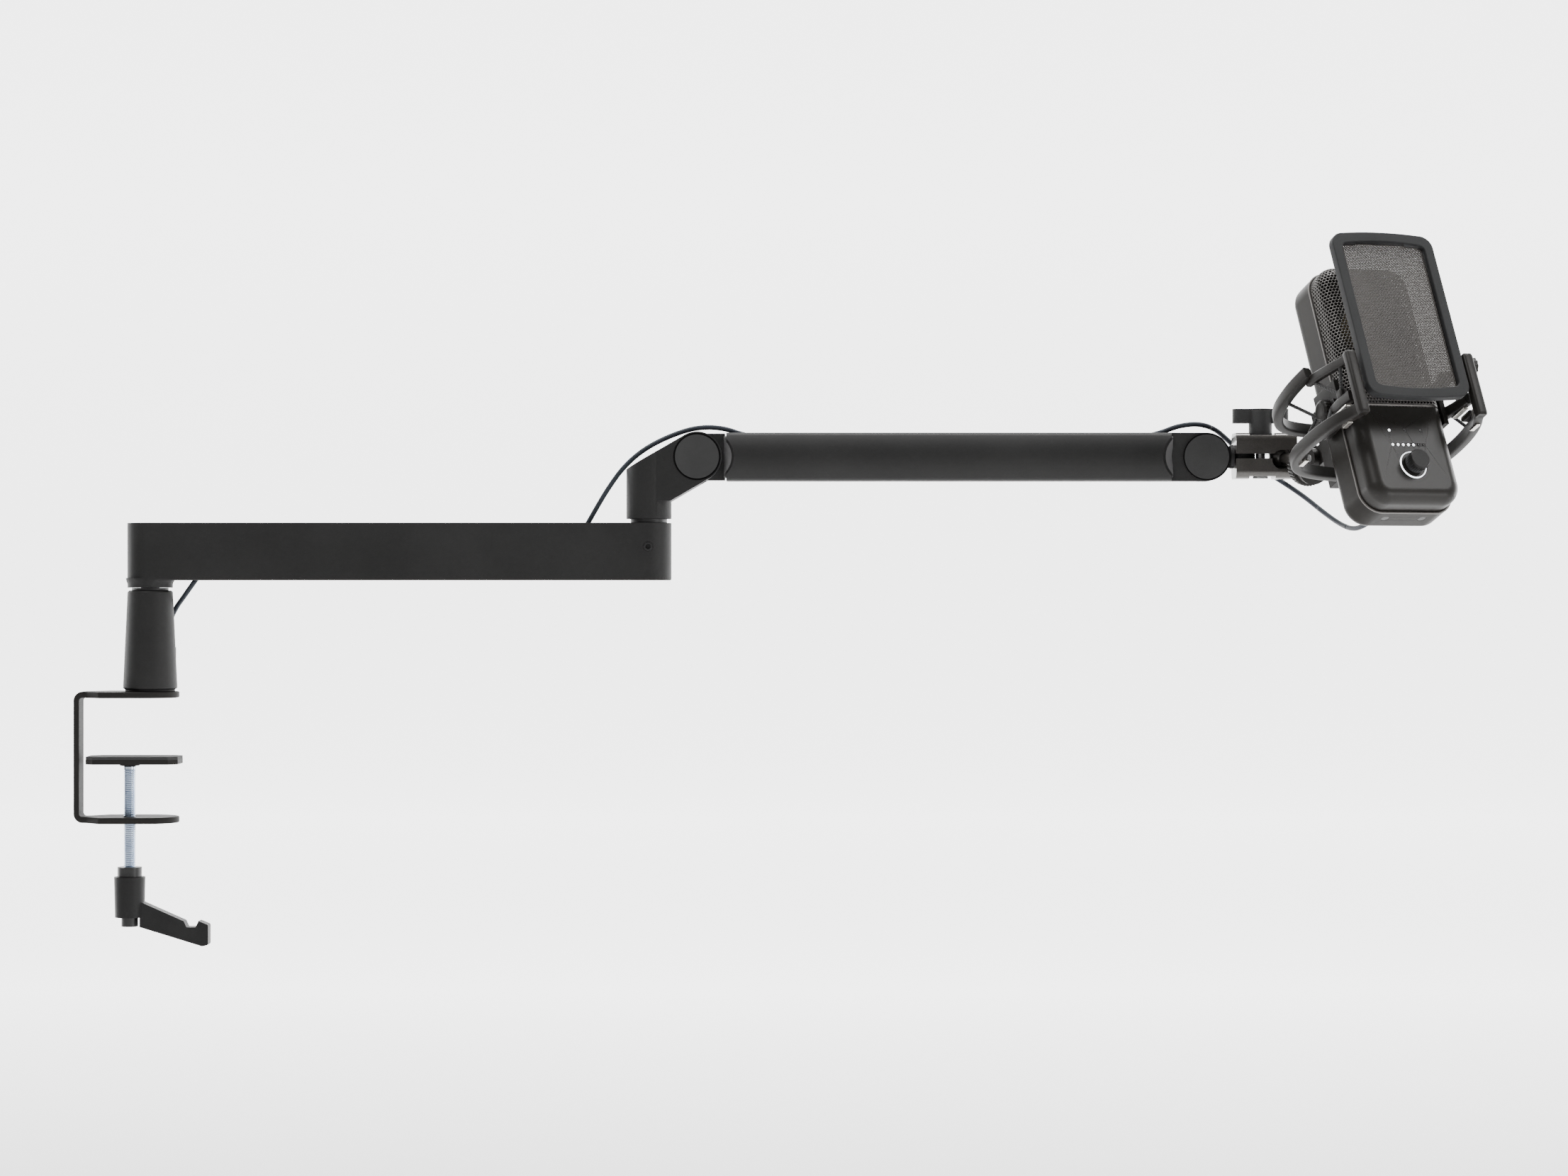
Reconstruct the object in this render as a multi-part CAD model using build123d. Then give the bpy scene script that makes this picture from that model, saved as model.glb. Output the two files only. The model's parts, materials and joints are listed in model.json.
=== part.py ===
from build123d import *
import math
import os

# Boom-arm microphone: desk clamp, riser, two-segment arm, ball clamp, shock mount and microphone.
# Millimetres. Origin on the riser's axis at the desk face, +X along the arm, +Z up, -Y to the talker.

# desk clamp
STRIP = 4.0                 # steel strip
PLATE_R = 18.8              # rounded free ends, and half the strip's width
WALL_X = -48.6              # outer face of the clamp's back wall
WEB_HALF = 8.0              # half the wall's width, narrower than the plates
JAW_TOP = -77.5
SCREW_X, SCREW_R = -13.4, 4.0
PAD_TOP, PAD_X = -38.2, (-40.3, 19.6)
HANDLE_TOP = -110.6         # top of the handle insert's collar
LEVER_TIP_X = 38.6

# arm
POST_TOP, POST_R_TOP, POST_R_LOW = 69.9, 14.6, 17.5
SPINDLE_R, RUNNING_FIT = 6.0, 0.05
BEAM_Z, BEAM_HALF = (76.5, 113.9), 14.7
ELBOW_X = 325.7
ROOT = (357.4, 156.9)       # pitch axis at the elbow, x and z
TIP = (688.9, 156.9)        # pitch axis at the far end
EYE_R = 15.7                # half the upper arm's height, and its end rounds
BARREL_R = 27.0             # crown of the upper arm's front and back faces
PIN_R = 5.0
TONGUE_R = 15.2

# ball clamp
BALL_R, SEAT_GAP = 7.5, 0.08
BALL_Z = 157.2
WRIST_BALL_X, STUD_BALL_X = 714.0, 738.0
SHELL_X, SHELL_HALF = (707.7, 747.2), 12.5
KNOB_X = 725.0
HUB_REACH = 40.6            # from the stud's ball to the tilt hub

# microphone, in its own frame: w across, n to the front, u up
MIC_YAW, MIC_PITCH = 22.0, 24.5
MIC_CENTRE = (781.6, -110.0, 190.1)
MIC_HALF_W, MIC_BACK, MIC_FRONT = 33.0, -20.0, 20.0
MIC_LOW, MIC_HIGH = -82.0, 84.0
RIM_N = 4.0                 # seam between rear shell and front half
PANEL_TOP = -17.0           # seam between control panel and grille
WALL = 2.0
KNOB_U = -56.9
PORT = (10.0, -60.0)        # usb port on the back, w and u
TILT = (-74.0, -6.0)        # shock mount's tilt axis, n and u
BAND_LOW, BAND_HIGH = -30.0, 4.0    # middle heights of the shock mount's two bands
BAND_T, BAND_H = 6.0, 8.0
THUMB_U = -11.0             # height of the two side thumb screws

# usb cable
CABLE_R = 1.6

yaw, pitch = math.radians(MIC_YAW), math.radians(MIC_PITCH)
W_DIR = Vector(math.cos(yaw), math.sin(yaw), 0)
N_DIR = Vector(math.sin(yaw) * math.cos(pitch), -math.cos(yaw) * math.cos(pitch), math.sin(pitch))
U_DIR = Vector(-math.sin(yaw) * math.sin(pitch), math.cos(yaw) * math.sin(pitch), math.cos(pitch))
MIC = Plane(origin=MIC_CENTRE, x_dir=W_DIR, z_dir=U_DIR)
STUD_BALL = Vector(STUD_BALL_X, 0, BALL_Z)
HUB = Vector(*MIC_CENTRE) - 88.0 * N_DIR - 4.0 * U_DIR
STUD_DIR = (HUB - STUD_BALL).normalized()


def save(name, *solids):
    """One STEP per node; several solids make one group."""
    flat = [s for shape in solids for s in shape.solids()]
    whole = flat[0] if len(flat) == 1 else Compound(children=flat)
    whole.label = name
    export_step(whole, f"parts/{name}.step")


def rod(radius, start, end, top_radius=None):
    """Cylinder, or cone, between two points."""
    a, b = Vector(*start), Vector(*end)
    length = (b - a).length
    at = Plane(origin=a, z_dir=b - a)
    if top_radius is None:
        return at * extrude(Circle(radius), length)
    return at * (Pos(0, 0, length / 2) * Cone(radius, top_radius, length))


def block(x, y, z):
    """Box from three (low, high) pairs."""
    size = [b - a for a, b in (x, y, z)]
    middle = [(a + b) / 2 for a, b in (x, y, z)]
    return Pos(*middle) * Box(*size)


def post(radius, z, x=0.0):
    return rod(radius, (x, 0, z[0]), (x, 0, z[1]))


def across(radius, y, at):
    """Cylinder along Y at a pitch axis."""
    return rod(radius, (at[0], y[0], at[1]), (at[0], y[1], at[1]))


def side_outline(points, half):
    """Outline of (x, z) points, as thick as twice half, centred on y = 0."""
    face = make_face(Polyline(*[(x, z) for x, z in points], close=True))
    return extrude(Plane.XZ * face, half, both=True)


def micpt(w, n, u):
    return (w, -n, u)


def mic_rod(radius, start, end, top_radius=None):
    return rod(radius, micpt(*start), micpt(*end), top_radius)


def mic_block(w, n, u):
    return block(w, (-n[1], -n[0]), u)


def world(w, n, u):
    return Vector(*MIC_CENTRE) + w * W_DIR + n * N_DIR + u * U_DIR


# ---------------------------------------------------------------- desk clamp

def clamp_bracket():
    low = JAW_TOP - STRIP
    outer = block((WALL_X, PLATE_R + 1), (-PLATE_R, PLATE_R), (low, STRIP))
    outer = fillet(outer.edges().filter_by(Axis.Y).group_by(Axis.X)[0], 6.0)
    inner = block((WALL_X + STRIP - 0.4, PLATE_R + 2), (-PLATE_R, PLATE_R), (JAW_TOP, 0))
    inner = fillet(inner.edges().filter_by(Axis.Y).group_by(Axis.X)[0], 2.2)
    waist = [(WALL_X, -WEB_HALF), (-41, -WEB_HALF), (-30, -PLATE_R), (0, -PLATE_R),
             (0, PLATE_R), (-30, PLATE_R), (-41, WEB_HALF), (WALL_X, WEB_HALF)]
    plan = Pos(0, 0, low) * extrude(make_face(Polyline(*waist, close=True)), STRIP - low)
    plan = fillet(plan.edges().filter_by(Axis.Z).group_by(Axis.X)[1], 6.0) + post(PLATE_R, (low, STRIP))
    bracket = (outer - inner) & plan
    bracket -= post(SCREW_R + RUNNING_FIT, (low - 1, JAW_TOP + 1), SCREW_X)
    bracket -= post(4.0, (0, STRIP)) + rod(8.0, (0, 0, 0), (0, 0, 2.6), 4.0)
    save("clamp_bracket", bracket)


def riser():
    z0 = STRIP
    outline = Polyline((0, z0), (16.0, z0), (16.0, 5.3), (POST_R_LOW, 6.3), (POST_R_TOP, POST_TOP - 1.0),
                       (POST_R_TOP - 1.0, POST_TOP), (0, POST_TOP), close=True)
    body = revolve(Plane.XZ * make_face(outline), Axis.Z)
    body -= post(SPINDLE_R, (24.0, POST_TOP)) + post(4.0, (z0, 24.0))
    save("riser_post", body)
    save("post_spindle", post(SPINDLE_R, (24.0, 106.0)) + post(4.0, (2.6, 24.0))
         + rod(8.0, (0, 0, 0), (0, 0, 2.6), 4.0))
    save("post_washer", post(11.9, (POST_TOP, 71.6)) - post(SPINDLE_R, (POST_TOP, 71.6)))


def pad():
    x0, x1 = PAD_X
    plan = chamfer(Rectangle(x1 - x0, 30.0).vertices(), 5.5)
    middle = Pos((x0 + x1) / 2, 0, 0)
    split, low = PAD_TOP - 2.0, PAD_TOP - 5.0
    save("pad_rubber", middle * (Pos(0, 0, split) * extrude(plan, 2.0)))
    plate = middle * (Pos(0, 0, low) * extrude(plan, 3.0)) + post(6.35, (low - 1.2, low), SCREW_X)
    save("pad_plate", plate - post(3.0 + RUNNING_FIT, (low - 1.2, low + 2.4), SCREW_X))


def clamp_screw():
    shoulder = PAD_TOP - 6.3
    screw = post(SCREW_R, (-123.0, shoulder), SCREW_X) + post(3.0, (shoulder, shoulder + 3.6), SCREW_X)
    save("clamp_screw", screw)
    collar = post(7.9, (HANDLE_TOP - 6.3, HANDLE_TOP), SCREW_X)
    toothed = post(6.5, (-127.0, HANDLE_TOP - 6.3), SCREW_X)
    stem = post(2.5, (-143.4, -127.0), SCREW_X) + post(5.4, (-149.4, -143.4), SCREW_X)
    save("handle_insert", collar + toothed + stem - post(SCREW_R, (-123.0, HANDLE_TOP), SCREW_X))


def handle_lever():
    top, low = HANDLE_TOP - 6.4, -143.4
    hub = rod(9.5, (SCREW_X, 0, low), (SCREW_X, 0, top), 10.1)
    grip = side_outline([(SCREW_X, -131.0), (-3.9, -133.8), (22.7, -145.6), (24.6, -149.6), (30.4, -149.6),
                         (32.4, -145.5), (LEVER_TIP_X, -148.1), (LEVER_TIP_X, -161.2), (34.6, -162.0),
                         (-8.3, -148.8), (SCREW_X, -143.4)], 5.2)
    grip = fillet(grip.edges().filter_by(Axis.Y).sort_by(Axis.X)[-2:], 1.2)
    lever = hub + grip - post(5.6, (low - 6, -131.2), SCREW_X) - post(2.6, (-131.3, -127.0), SCREW_X)
    lever -= post(6.55, (-127.8, top), SCREW_X) + post(9.0, (low - 8.0, low), SCREW_X)
    save("handle_lever", lever)


# ---------------------------------------------------------------- lower arm

def lower_arm():
    z0, z1 = BEAM_Z
    bar = block((0, ELBOW_X), (-BEAM_HALF, BEAM_HALF), BEAM_Z)
    beam = bar + post(BEAM_HALF, BEAM_Z) + post(BEAM_HALF, BEAM_Z, ELBOW_X)
    beam = fillet(beam.edges().group_by(Axis.Z)[0], 1.0)
    beam += post(BEAM_HALF - 0.1, (71.7, z0 + 1.5)) + rod(BEAM_HALF - 0.1, (0, 0, 74.2), (0, 0, z0 + 1.5), 16.2) \
        & block((-BEAM_HALF, 40), (-BEAM_HALF, BEAM_HALF), (71.7, z1))
    duct = block((20, ELBOW_X - 18), (-11.0, 11.0), (z0 + 3.0, z1 - 3.0))
    entry = block((272, 295), (-2.6, 2.6), (z1 - 4.0, z1 + 1))
    outlet = block((22, 38), (-2.6, 2.6), (z0 - 1, z0 + 4.0))
    beam -= duct + entry + outlet + block((42, ELBOW_X - 20), (-10.0, 10.0), (z0 - 1, z0 + 3.0))
    beam -= post(9.0, (71.0, 108.0)) + post(9.0, (82.0, z1), ELBOW_X)
    beam -= rod(3.2, (ELBOW_X, -BEAM_HALF - 1, 98.5), (ELBOW_X, -8.0, 98.5))
    save("lower_arm_beam", beam)
    save("cable_cover", block((42.2, ELBOW_X - 20.2), (-9.8, 9.8), (z0, z0 + 2.6)))
    sleeves = post(9.0, (71.7, 107.0)) + post(9.0, (82.0, z1 - 0.1), ELBOW_X)
    bores = post(SPINDLE_R + RUNNING_FIT, (71.0, 108.0)) + post(SPINDLE_R + RUNNING_FIT, (83.0, z1), ELBOW_X)
    save("arm_bushings", sleeves - bores)
    screw = rod(3.1, (ELBOW_X, -BEAM_HALF + 0.6, 98.5), (ELBOW_X, -9.05, 98.5))
    socket = Plane(origin=(ELBOW_X, -BEAM_HALF, 98.5), z_dir=(0, 1, 0)) * extrude(RegularPolygon(1.9, 6), 3.2)
    save("tension_screw", screw - socket)


# ---------------------------------------------------------------- elbow

def tangent_point(centre, radius, point, side):
    """Where a line from point touches the circle; side is +1 or -1."""
    gap = math.dist(centre, point)
    towards = math.atan2(point[1] - centre[1], point[0] - centre[0])
    turn = towards + side * math.acos(radius / gap)
    return centre[0] + radius * math.cos(turn), centre[1] + radius * math.sin(turn)


EAR_R, EAR_FACE, FORK_GAP = 16.2, 13.6, 6.2


def elbow_bracket():
    left, low = ELBOW_X - BEAM_HALF, 116.6
    top_left, corner = (left, 148.8), (ELBOW_X + 14.4, 128.1)
    upper = tangent_point(ROOT, EAR_R, top_left, -1)
    lower = tangent_point(ROOT, EAR_R, corner, 1)
    slant = [(left, low), top_left, upper, ROOT, lower, corner, (ELBOW_X, 128.1), (ELBOW_X, low)]
    plate = side_outline(slant, EAR_FACE) & block((left, 400), (-20, 20), (128.1, 200))
    column = post(BEAM_HALF, (low, 200), ELBOW_X) & side_outline(
        [(left - 5, low), (left - 5, 146.0), top_left, upper, (ROOT[0], 130), (ROOT[0], low)], 20)
    front = block((ELBOW_X, 400), (-20, 20), (128.1, 200)) + post(BEAM_HALF, (128.1, 200), ELBOW_X)
    bracket = column + (plate & front) + across(EAR_R, (-EAR_FACE, EAR_FACE), ROOT)
    sweep = across(17.2, (-FORK_GAP, FORK_GAP), ROOT)
    sweep += block((ROOT[0], 400), (-FORK_GAP, FORK_GAP), (ROOT[1] - 17.2, ROOT[1] + 17.2))
    bracket -= sweep + across(PIN_R, (-20, 20), ROOT)
    for side in (-1, 1):
        bracket -= across(15.4, sorted((side * 12.0, side * 20.0)), ROOT)
    bracket -= post(SPINDLE_R, (low, 128.0), ELBOW_X)
    save("elbow_bracket", bracket)
    save("elbow_spindle", post(SPINDLE_R, (84.0, 128.0), ELBOW_X))
    save("elbow_washer", post(11.9, (BEAM_Z[1] + 0.1, low), ELBOW_X) - post(SPINDLE_R, (110, low), ELBOW_X))
    save("elbow_caps", *[chamfer(across(15.0, sorted((side * 12.0, side * 13.9)), ROOT)
                                 .edges().group_by(Axis.Y)[0 if side < 0 else -1], 0.4) for side in (-1, 1)])
    save("elbow_pivot_bolt", across(PIN_R, (-11.9, 11.9), ROOT))


# ---------------------------------------------------------------- upper arm

def barrel(shrink, x):
    """The upper arm's section: crowned front and back, rounded corners."""
    half = EYE_R - shrink
    crown = BARREL_R - shrink
    side_y = EYE_R - shrink - (crown - math.sqrt(crown ** 2 - half ** 2))
    lines = Curve() + [ThreePointArc((-side_y, -half), (-half, 0), (-side_y, half)), Line((-side_y, half), (side_y, half)),
                       ThreePointArc((side_y, half), (half, 0), (side_y, -half)), Line((side_y, -half), (-side_y, -half))]
    face = make_face(lines)
    face = fillet(face.vertices(), 3.2 if shrink else 4.2)
    return Plane(origin=(x[0], 0, ROOT[1]), x_dir=(0, 1, 0), z_dir=(1, 0, 0)) * extrude(face, x[1] - x[0])


def ramp(at, cheek, inner, outer, right):
    """What an eye's flat cheeks take off the arm: a cone on each side, and all beyond the pivot."""
    cut = []
    for side in (-1, 1):
        grow = (outer - inner) / (EYE_R - cheek)
        start = (at[0], side * cheek, at[1])
        end = (at[0], side * (EYE_R + 2), at[1])
        cone = rod(inner, start, end, outer + 2 * grow)
        beyond = (at[0], at[0] + 40) if right else (at[0] - 40, at[0])
        cut.append(cone + block(beyond, sorted((side * cheek, side * 20)), (at[1] - 20, at[1] + 20)))
    return cut[0] + cut[1]


ROOT_CHEEK, TIP_CHEEK, TIP_SLOT = 6.0, 7.6, 4.3


def upper_arm():
    root_cut = ramp(ROOT, ROOT_CHEEK, 17.6, 23.9, False)
    tip_cut = ramp(TIP, TIP_CHEEK, 22.6, 29.0, True)
    entry = block((374, 410), (-2.6, 2.6), (164.5, 175))
    outlet = block((638, 674), (-2.6, 2.6), (164.5, 175))
    skin = barrel(0, (ROOT[0] + 19.0, TIP[0] - 23.0)) - barrel(2.2, (ROOT[0], TIP[0]))
    save("upper_arm_tube", skin - root_cut - tip_cut - entry - outlet)
    root_plug = barrel(2.2, (ROOT[0] + 17.4, 402)) - root_cut
    tongue = block((ROOT[0], ROOT[0] + 18), (-ROOT_CHEEK, ROOT_CHEEK), (ROOT[1] - TONGUE_R, ROOT[1] + TONGUE_R))
    tongue += across(TONGUE_R, (-ROOT_CHEEK, ROOT_CHEEK), ROOT)
    tongue &= barrel(0, (ROOT[0] - 20, ROOT[0] + 40))
    save("root_knuckle", root_plug + tongue - entry - across(PIN_R + RUNNING_FIT, (-20, 20), ROOT))
    tip_plug = barrel(2.2, (644, TIP[0] - 22.0)) - tip_cut
    cheeks = block((TIP[0] - 23, TIP[0]), (-TIP_CHEEK, TIP_CHEEK), (TIP[1] - EYE_R, TIP[1] + EYE_R))
    cheeks += across(EYE_R, (-TIP_CHEEK, TIP_CHEEK), TIP)
    slot = across(16.6, (-TIP_SLOT, TIP_SLOT), TIP)
    slot += block((TIP[0], TIP[0] + 20), (-TIP_SLOT, TIP_SLOT), (TIP[1] - 20, TIP[1] + 20))
    fork = tip_plug + cheeks - slot - across(PIN_R, (-20, 20), TIP) - outlet
    save("tip_fork", fork)
    save("tip_caps", *[chamfer(across(15.2, sorted((side * TIP_CHEEK, side * 9.4)), TIP)
                               .edges().group_by(Axis.Y)[0 if side < 0 else -1], 0.5) for side in (-1, 1)])
    save("tip_pivot_bolt", across(PIN_R, (-TIP_CHEEK, TIP_CHEEK), TIP))


# ---------------------------------------------------------------- wrist and ball clamp

def wrist():
    reach = WRIST_BALL_X
    tongue = across(TONGUE_R, (-3.9, 3.9), TIP) + block((TIP[0], TIP[0] + 18), (-3.9, 3.9), (TIP[1] - 7, TIP[1] + 7))
    neck = rod(7.75, (TIP[0] + 16.1, 0, BALL_Z), (SHELL_X[0] - 0.4, 0, BALL_Z))
    waist = rod(4.6, (SHELL_X[0] - 0.4, 0, BALL_Z), (reach, 0, BALL_Z))
    ball = Pos(reach, 0, BALL_Z) * Sphere(BALL_R)
    save("wrist_knuckle", tongue + neck + waist + ball - across(PIN_R + RUNNING_FIT, (-20, 20), TIP))


def ball_clamp():
    seats = [Pos(x, 0, BALL_Z) * Sphere(BALL_R + SEAT_GAP) for x in (WRIST_BALL_X, STUD_BALL_X)]
    mouths = [rod(5.0, (SHELL_X[0] - 1, 0, BALL_Z), (WRIST_BALL_X, 0, BALL_Z))]
    for pan in (-24, -12, 0, 12, 24):
        mouths.append(rod(6.2, STUD_BALL, STUD_BALL + STUD_DIR.rotate(Axis.Z, pan) * 24))
    bolt = post(3.1, (130, 180), KNOB_X)
    for name, z, flat in (("socket_upper", (158.8, 172.5), 1), ("socket_lower", (142.6, 155.7), -1)):
        shell = block(SHELL_X, (-SHELL_HALF, SHELL_HALF), z)
        outer = shell.edges().filter_by(Axis.X).group_by(Axis.Z)[-1 if flat > 0 else 0]
        shell = fillet(outer, 5.0)
        notch_z = (z[1] - 1.6, z[1] + 1) if flat > 0 else (z[0] - 1, z[0] + 1.6)
        for cut in seats + mouths:
            shell -= cut
        save(name, shell - bolt - block((KNOB_X - 8.5, KNOB_X + 8.5), (-20, 20), notch_z))
    nut = Plane(origin=(KNOB_X, 0, 142.9)) * extrude(RegularPolygon(5.0, 6), 1.3)
    save("socket_nut", nut - post(3.0, (140, 150), KNOB_X))
    low = 171.1
    knob = post(7.6, (low, 188.4), KNOB_X)
    wings = block((KNOB_X - 15.0, KNOB_X + 15.0), (-3.6, 3.6), (179.0, 188.4))
    for side in (-1, 1):
        wings += post(3.6, (179.0, 188.4), KNOB_X + side * 14.7)
    save("t_knob", knob + wings - post(3.0, (low, 182.0), KNOB_X))
    save("t_knob_stud", post(3.0, (142.9, 182.0), KNOB_X))


def stud():
    ball = Pos(*STUD_BALL) * Sphere(BALL_R)
    shank = rod(4.2, STUD_BALL, STUD_BALL + STUD_DIR * 44)
    save("ball_stud", ball + shank)
    ring = rod(13.6, STUD_BALL + STUD_DIR * 33.5, STUD_BALL + STUD_DIR * 39.8)
    save("lock_ring", ring - rod(4.2 + RUNNING_FIT, STUD_BALL, STUD_BALL + STUD_DIR * 60))


def tilt_hub():
    base = rod(11.5, STUD_BALL + STUD_DIR * 40.0, STUD_BALL + STUD_DIR * 45.6)
    axis = world(0, *TILT)
    heel = STUD_BALL + STUD_DIR * 44.2
    along = axis - heel
    ears = None
    for side in (-1, 1):
        inner, outer = side * 5.2 * W_DIR, side * 9.4 * W_DIR
        eye = rod(6.6, axis + inner, axis + outer)
        at = Plane(origin=heel + along / 2 + (inner + outer) / 2, x_dir=along, z_dir=W_DIR)
        ear = eye + at * Box(along.length, 12.6, 4.2)
        ears = ear if ears is None else ears + ear
    hub = base + ears - rod(2.5 + RUNNING_FIT, axis - 12 * W_DIR, axis + 12 * W_DIR)
    save("mount_hub", hub - rod(4.2 + RUNNING_FIT, STUD_BALL, STUD_BALL + STUD_DIR * 44.5))


# ---------------------------------------------------------------- shock mount

def band(u, side_points):
    """A U-shaped bar, open to the front, traced through half of its middle line."""
    half = [(w, -n) for w, n in side_points]
    line = Spline(*half, *[(-w, y) for w, y in reversed(half[:-1])])
    bar = extrude(trace(line, BAND_T), BAND_H)
    return Pos(0, 0, u - BAND_H / 2) * bar


LOW_LINE = [(-41.6, 41), (-46, 25), (-49.3, 4), (-49.3, -14), (-45, -34), (-24, -46.5), (0, -49)]
HIGH_LINE = [(-41.6, 41), (-46, 25), (-49.3, 2), (-49.3, -20), (-44, -42.5), (-22, -54), (0, -56.5)]


def shock_mount():
    frame = band(BAND_LOW, LOW_LINE) + band(BAND_HIGH, HIGH_LINE)
    for side in (-1, 1):
        w = sorted((side * 38.4, side * 44.9))
        frame += mic_block(w, (38.0, 45.0), (BAND_LOW - BAND_H / 2, BAND_HIGH + BAND_H / 2))
    frame += mic_block((-9, 9), (-60, -47), (BAND_LOW - BAND_H / 2, BAND_HIGH + BAND_H / 2))
    lug = mic_block((-4.9, 4.9), (TILT[0], -58), (TILT[1] - 6.2, TILT[1] + 6.2))
    lug += mic_rod(6.2, (-4.9, *TILT), (4.9, *TILT))
    frame += lug
    frame -= mic_rod(2.5, (-12, *TILT), (12, *TILT))
    save("mount_frame", MIC * frame)
    save("tilt_bolt", MIC * mic_rod(2.5, (-9.4, *TILT), (9.4, *TILT)))
    clips = []
    for side in (-1, 1):
        for across_w, back in ((47.5, -24.0), (45.2, 28.0)):
            w = sorted((side * (across_w - 1.5), side * (across_w + 1.5)))
            low = BAND_LOW - BAND_H / 2 - 1.2
            clips.append(MIC * mic_block(w, (back - 4, back + 4), (low, low + 1.2)))
    save("anchor_clips", *clips)
    cords = []
    for side in (-1, 1):
        for n_far, n_near in ((30.0, 9.0), (-20.0, -9.0)):
            for u_far in (BAND_LOW + 4.2, BAND_HIGH - 4.2):
                hook = Vector(side * 41.0, -n_near, -10.5)
                far = Vector(side * 45.5, -n_far, u_far)
                near = hook + (far - hook).normalized() * 4.5
                cords.append(MIC * rod(1.1, near, far))
    save("elastic_cords", *cords)


def cradle():
    line = Polyline((-36.0, -14), (-36.0, 18), (-31.5, 22.6), (31.5, 22.6), (36.0, 18), (36.0, -14))
    strap = Pos(0, 0, -18) * extrude(trace(line, 3.6), 14)
    for side in (-1, 1):
        w = sorted((side * 34.4, side * 37.8))
        strap += mic_block(w, (-12, 14), (-25, 4))
        for n in (-9.0, 9.0):
            strap += mic_block(sorted((side * 34.4, side * 39.0)), (n - 2.0, n + 2.0), (-13.4, -7.6))
        strap -= mic_rod(3.0 + RUNNING_FIT, (side * 30, 0, THUMB_U), (side * 50, 0, THUMB_U))
    save("mount_cradle", MIC * strap)
    for name, side in (("thumb_screw_left", -1), ("thumb_screw_right", 1)):
        head = mic_rod(7.0, (side * 38.0, 0, THUMB_U), (side * 43.4, 0, THUMB_U))
        shank = mic_rod(3.0, (side * 31.4, 0, THUMB_U), (side * 38.0, 0, THUMB_U))
        slot = mic_block(sorted((side * 42.2, side * 44)), (-7.2, 7.2), (THUMB_U - 0.7, THUMB_U + 0.7))
        save(name, MIC * (head + shank - slot))


# ---------------------------------------------------------------- microphone

def rounded(w, n, u, corner, edge, front):
    """Rounded box in the microphone's frame; edge rounds its front or its back rim."""
    shape = mic_block((-w, w), n, u)
    shape = fillet(shape.edges().filter_by(Axis.Y), corner)
    face = shape.faces().sort_by(Axis.Y)[0 if front else -1]
    return fillet(face.edges(), edge)


def housing():
    outer = rounded(MIC_HALF_W, (MIC_BACK, RIM_N), (MIC_LOW, MIC_HIGH), 14.0, 7.5, False)
    inner = rounded(MIC_HALF_W - WALL, (MIC_BACK + WALL, RIM_N + 1), (MIC_LOW + WALL, MIC_HIGH - WALL), 12.0, 5.5, False)
    shell = outer - inner
    side_bore = mic_rod(3.0 + RUNNING_FIT, (-50, 0, THUMB_U), (50, 0, THUMB_U))
    w, u = PORT
    ports = mic_block((w - 4.7, w + 4.7), (MIC_BACK - 1, MIC_BACK + WALL), (u - 1.9, u + 1.9))
    ports += mic_rod(3.4, (-w, MIC_BACK - 1, u), (-w, MIC_BACK + WALL, u))
    screws = [(side * 13.0, 0.0) for side in (-1, 1)]
    for sw, sn in screws:
        ports += mic_rod(2.6, (sw, sn - 4.0, MIC_LOW - 1), (sw, sn - 4.0, MIC_LOW + 1.2))
        ports += mic_rod(1.2, (sw, sn - 4.0, MIC_LOW), (sw, sn - 4.0, MIC_LOW + 4))
    save("rear_shell", MIC * (shell - side_bore - ports))
    half, low, high = MIC_HALF_W - 1.0, MIC_LOW + 1.4, MIC_HIGH - 1.4
    pillow = rounded(half, (RIM_N, MIC_FRONT), (low, high), 13.0, 8.5, True)
    hollow = rounded(half - WALL, (RIM_N - 1, MIC_FRONT - WALL), (low + WALL, high - WALL), 11.0, 6.8, True)
    front = pillow - hollow
    panel = front & mic_block((-40, 40), (0, 30), (MIC_LOW - 5, PANEL_TOP))
    holes = mic_rod(3.1, (0, 10, KNOB_U), (0, 30, KNOB_U))
    holes += mic_rod(9.2, (0, MIC_FRONT - 0.8, KNOB_U), (0, 30, KNOB_U)) \
        - mic_rod(8.2, (0, MIC_FRONT - 0.8, KNOB_U), (0, 30, KNOB_U))
    for w0, u0 in led_places():
        holes += mic_rod(0.9, (w0, 10, u0), (w0, 30, u0))
    save("front_panel", MIC * (panel - holes))
    save("grille", MIC * (front & mic_block((-40, 40), (0, 30), (PANEL_TOP, MIC_HIGH + 5))))
    screw = [MIC * (mic_rod(2.5, (sw, -4.0, MIC_LOW + 0.1), (sw, -4.0, MIC_LOW + 1.2))
                    + mic_rod(1.2, (sw, -4.0, MIC_LOW + 1.2), (sw, -4.0, MIC_LOW + 4))) for sw, _ in screws]
    save("housing_screws", *screw)


def led_places():
    """Seven level lights in a row, and three mode lights above them."""
    row = [(-11.0 + i * 22.0 / 6, -43.3) for i in range(7)]
    return row + [(w, -33.5) for w in (-11.1, 0.0, 11.1)]


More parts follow.
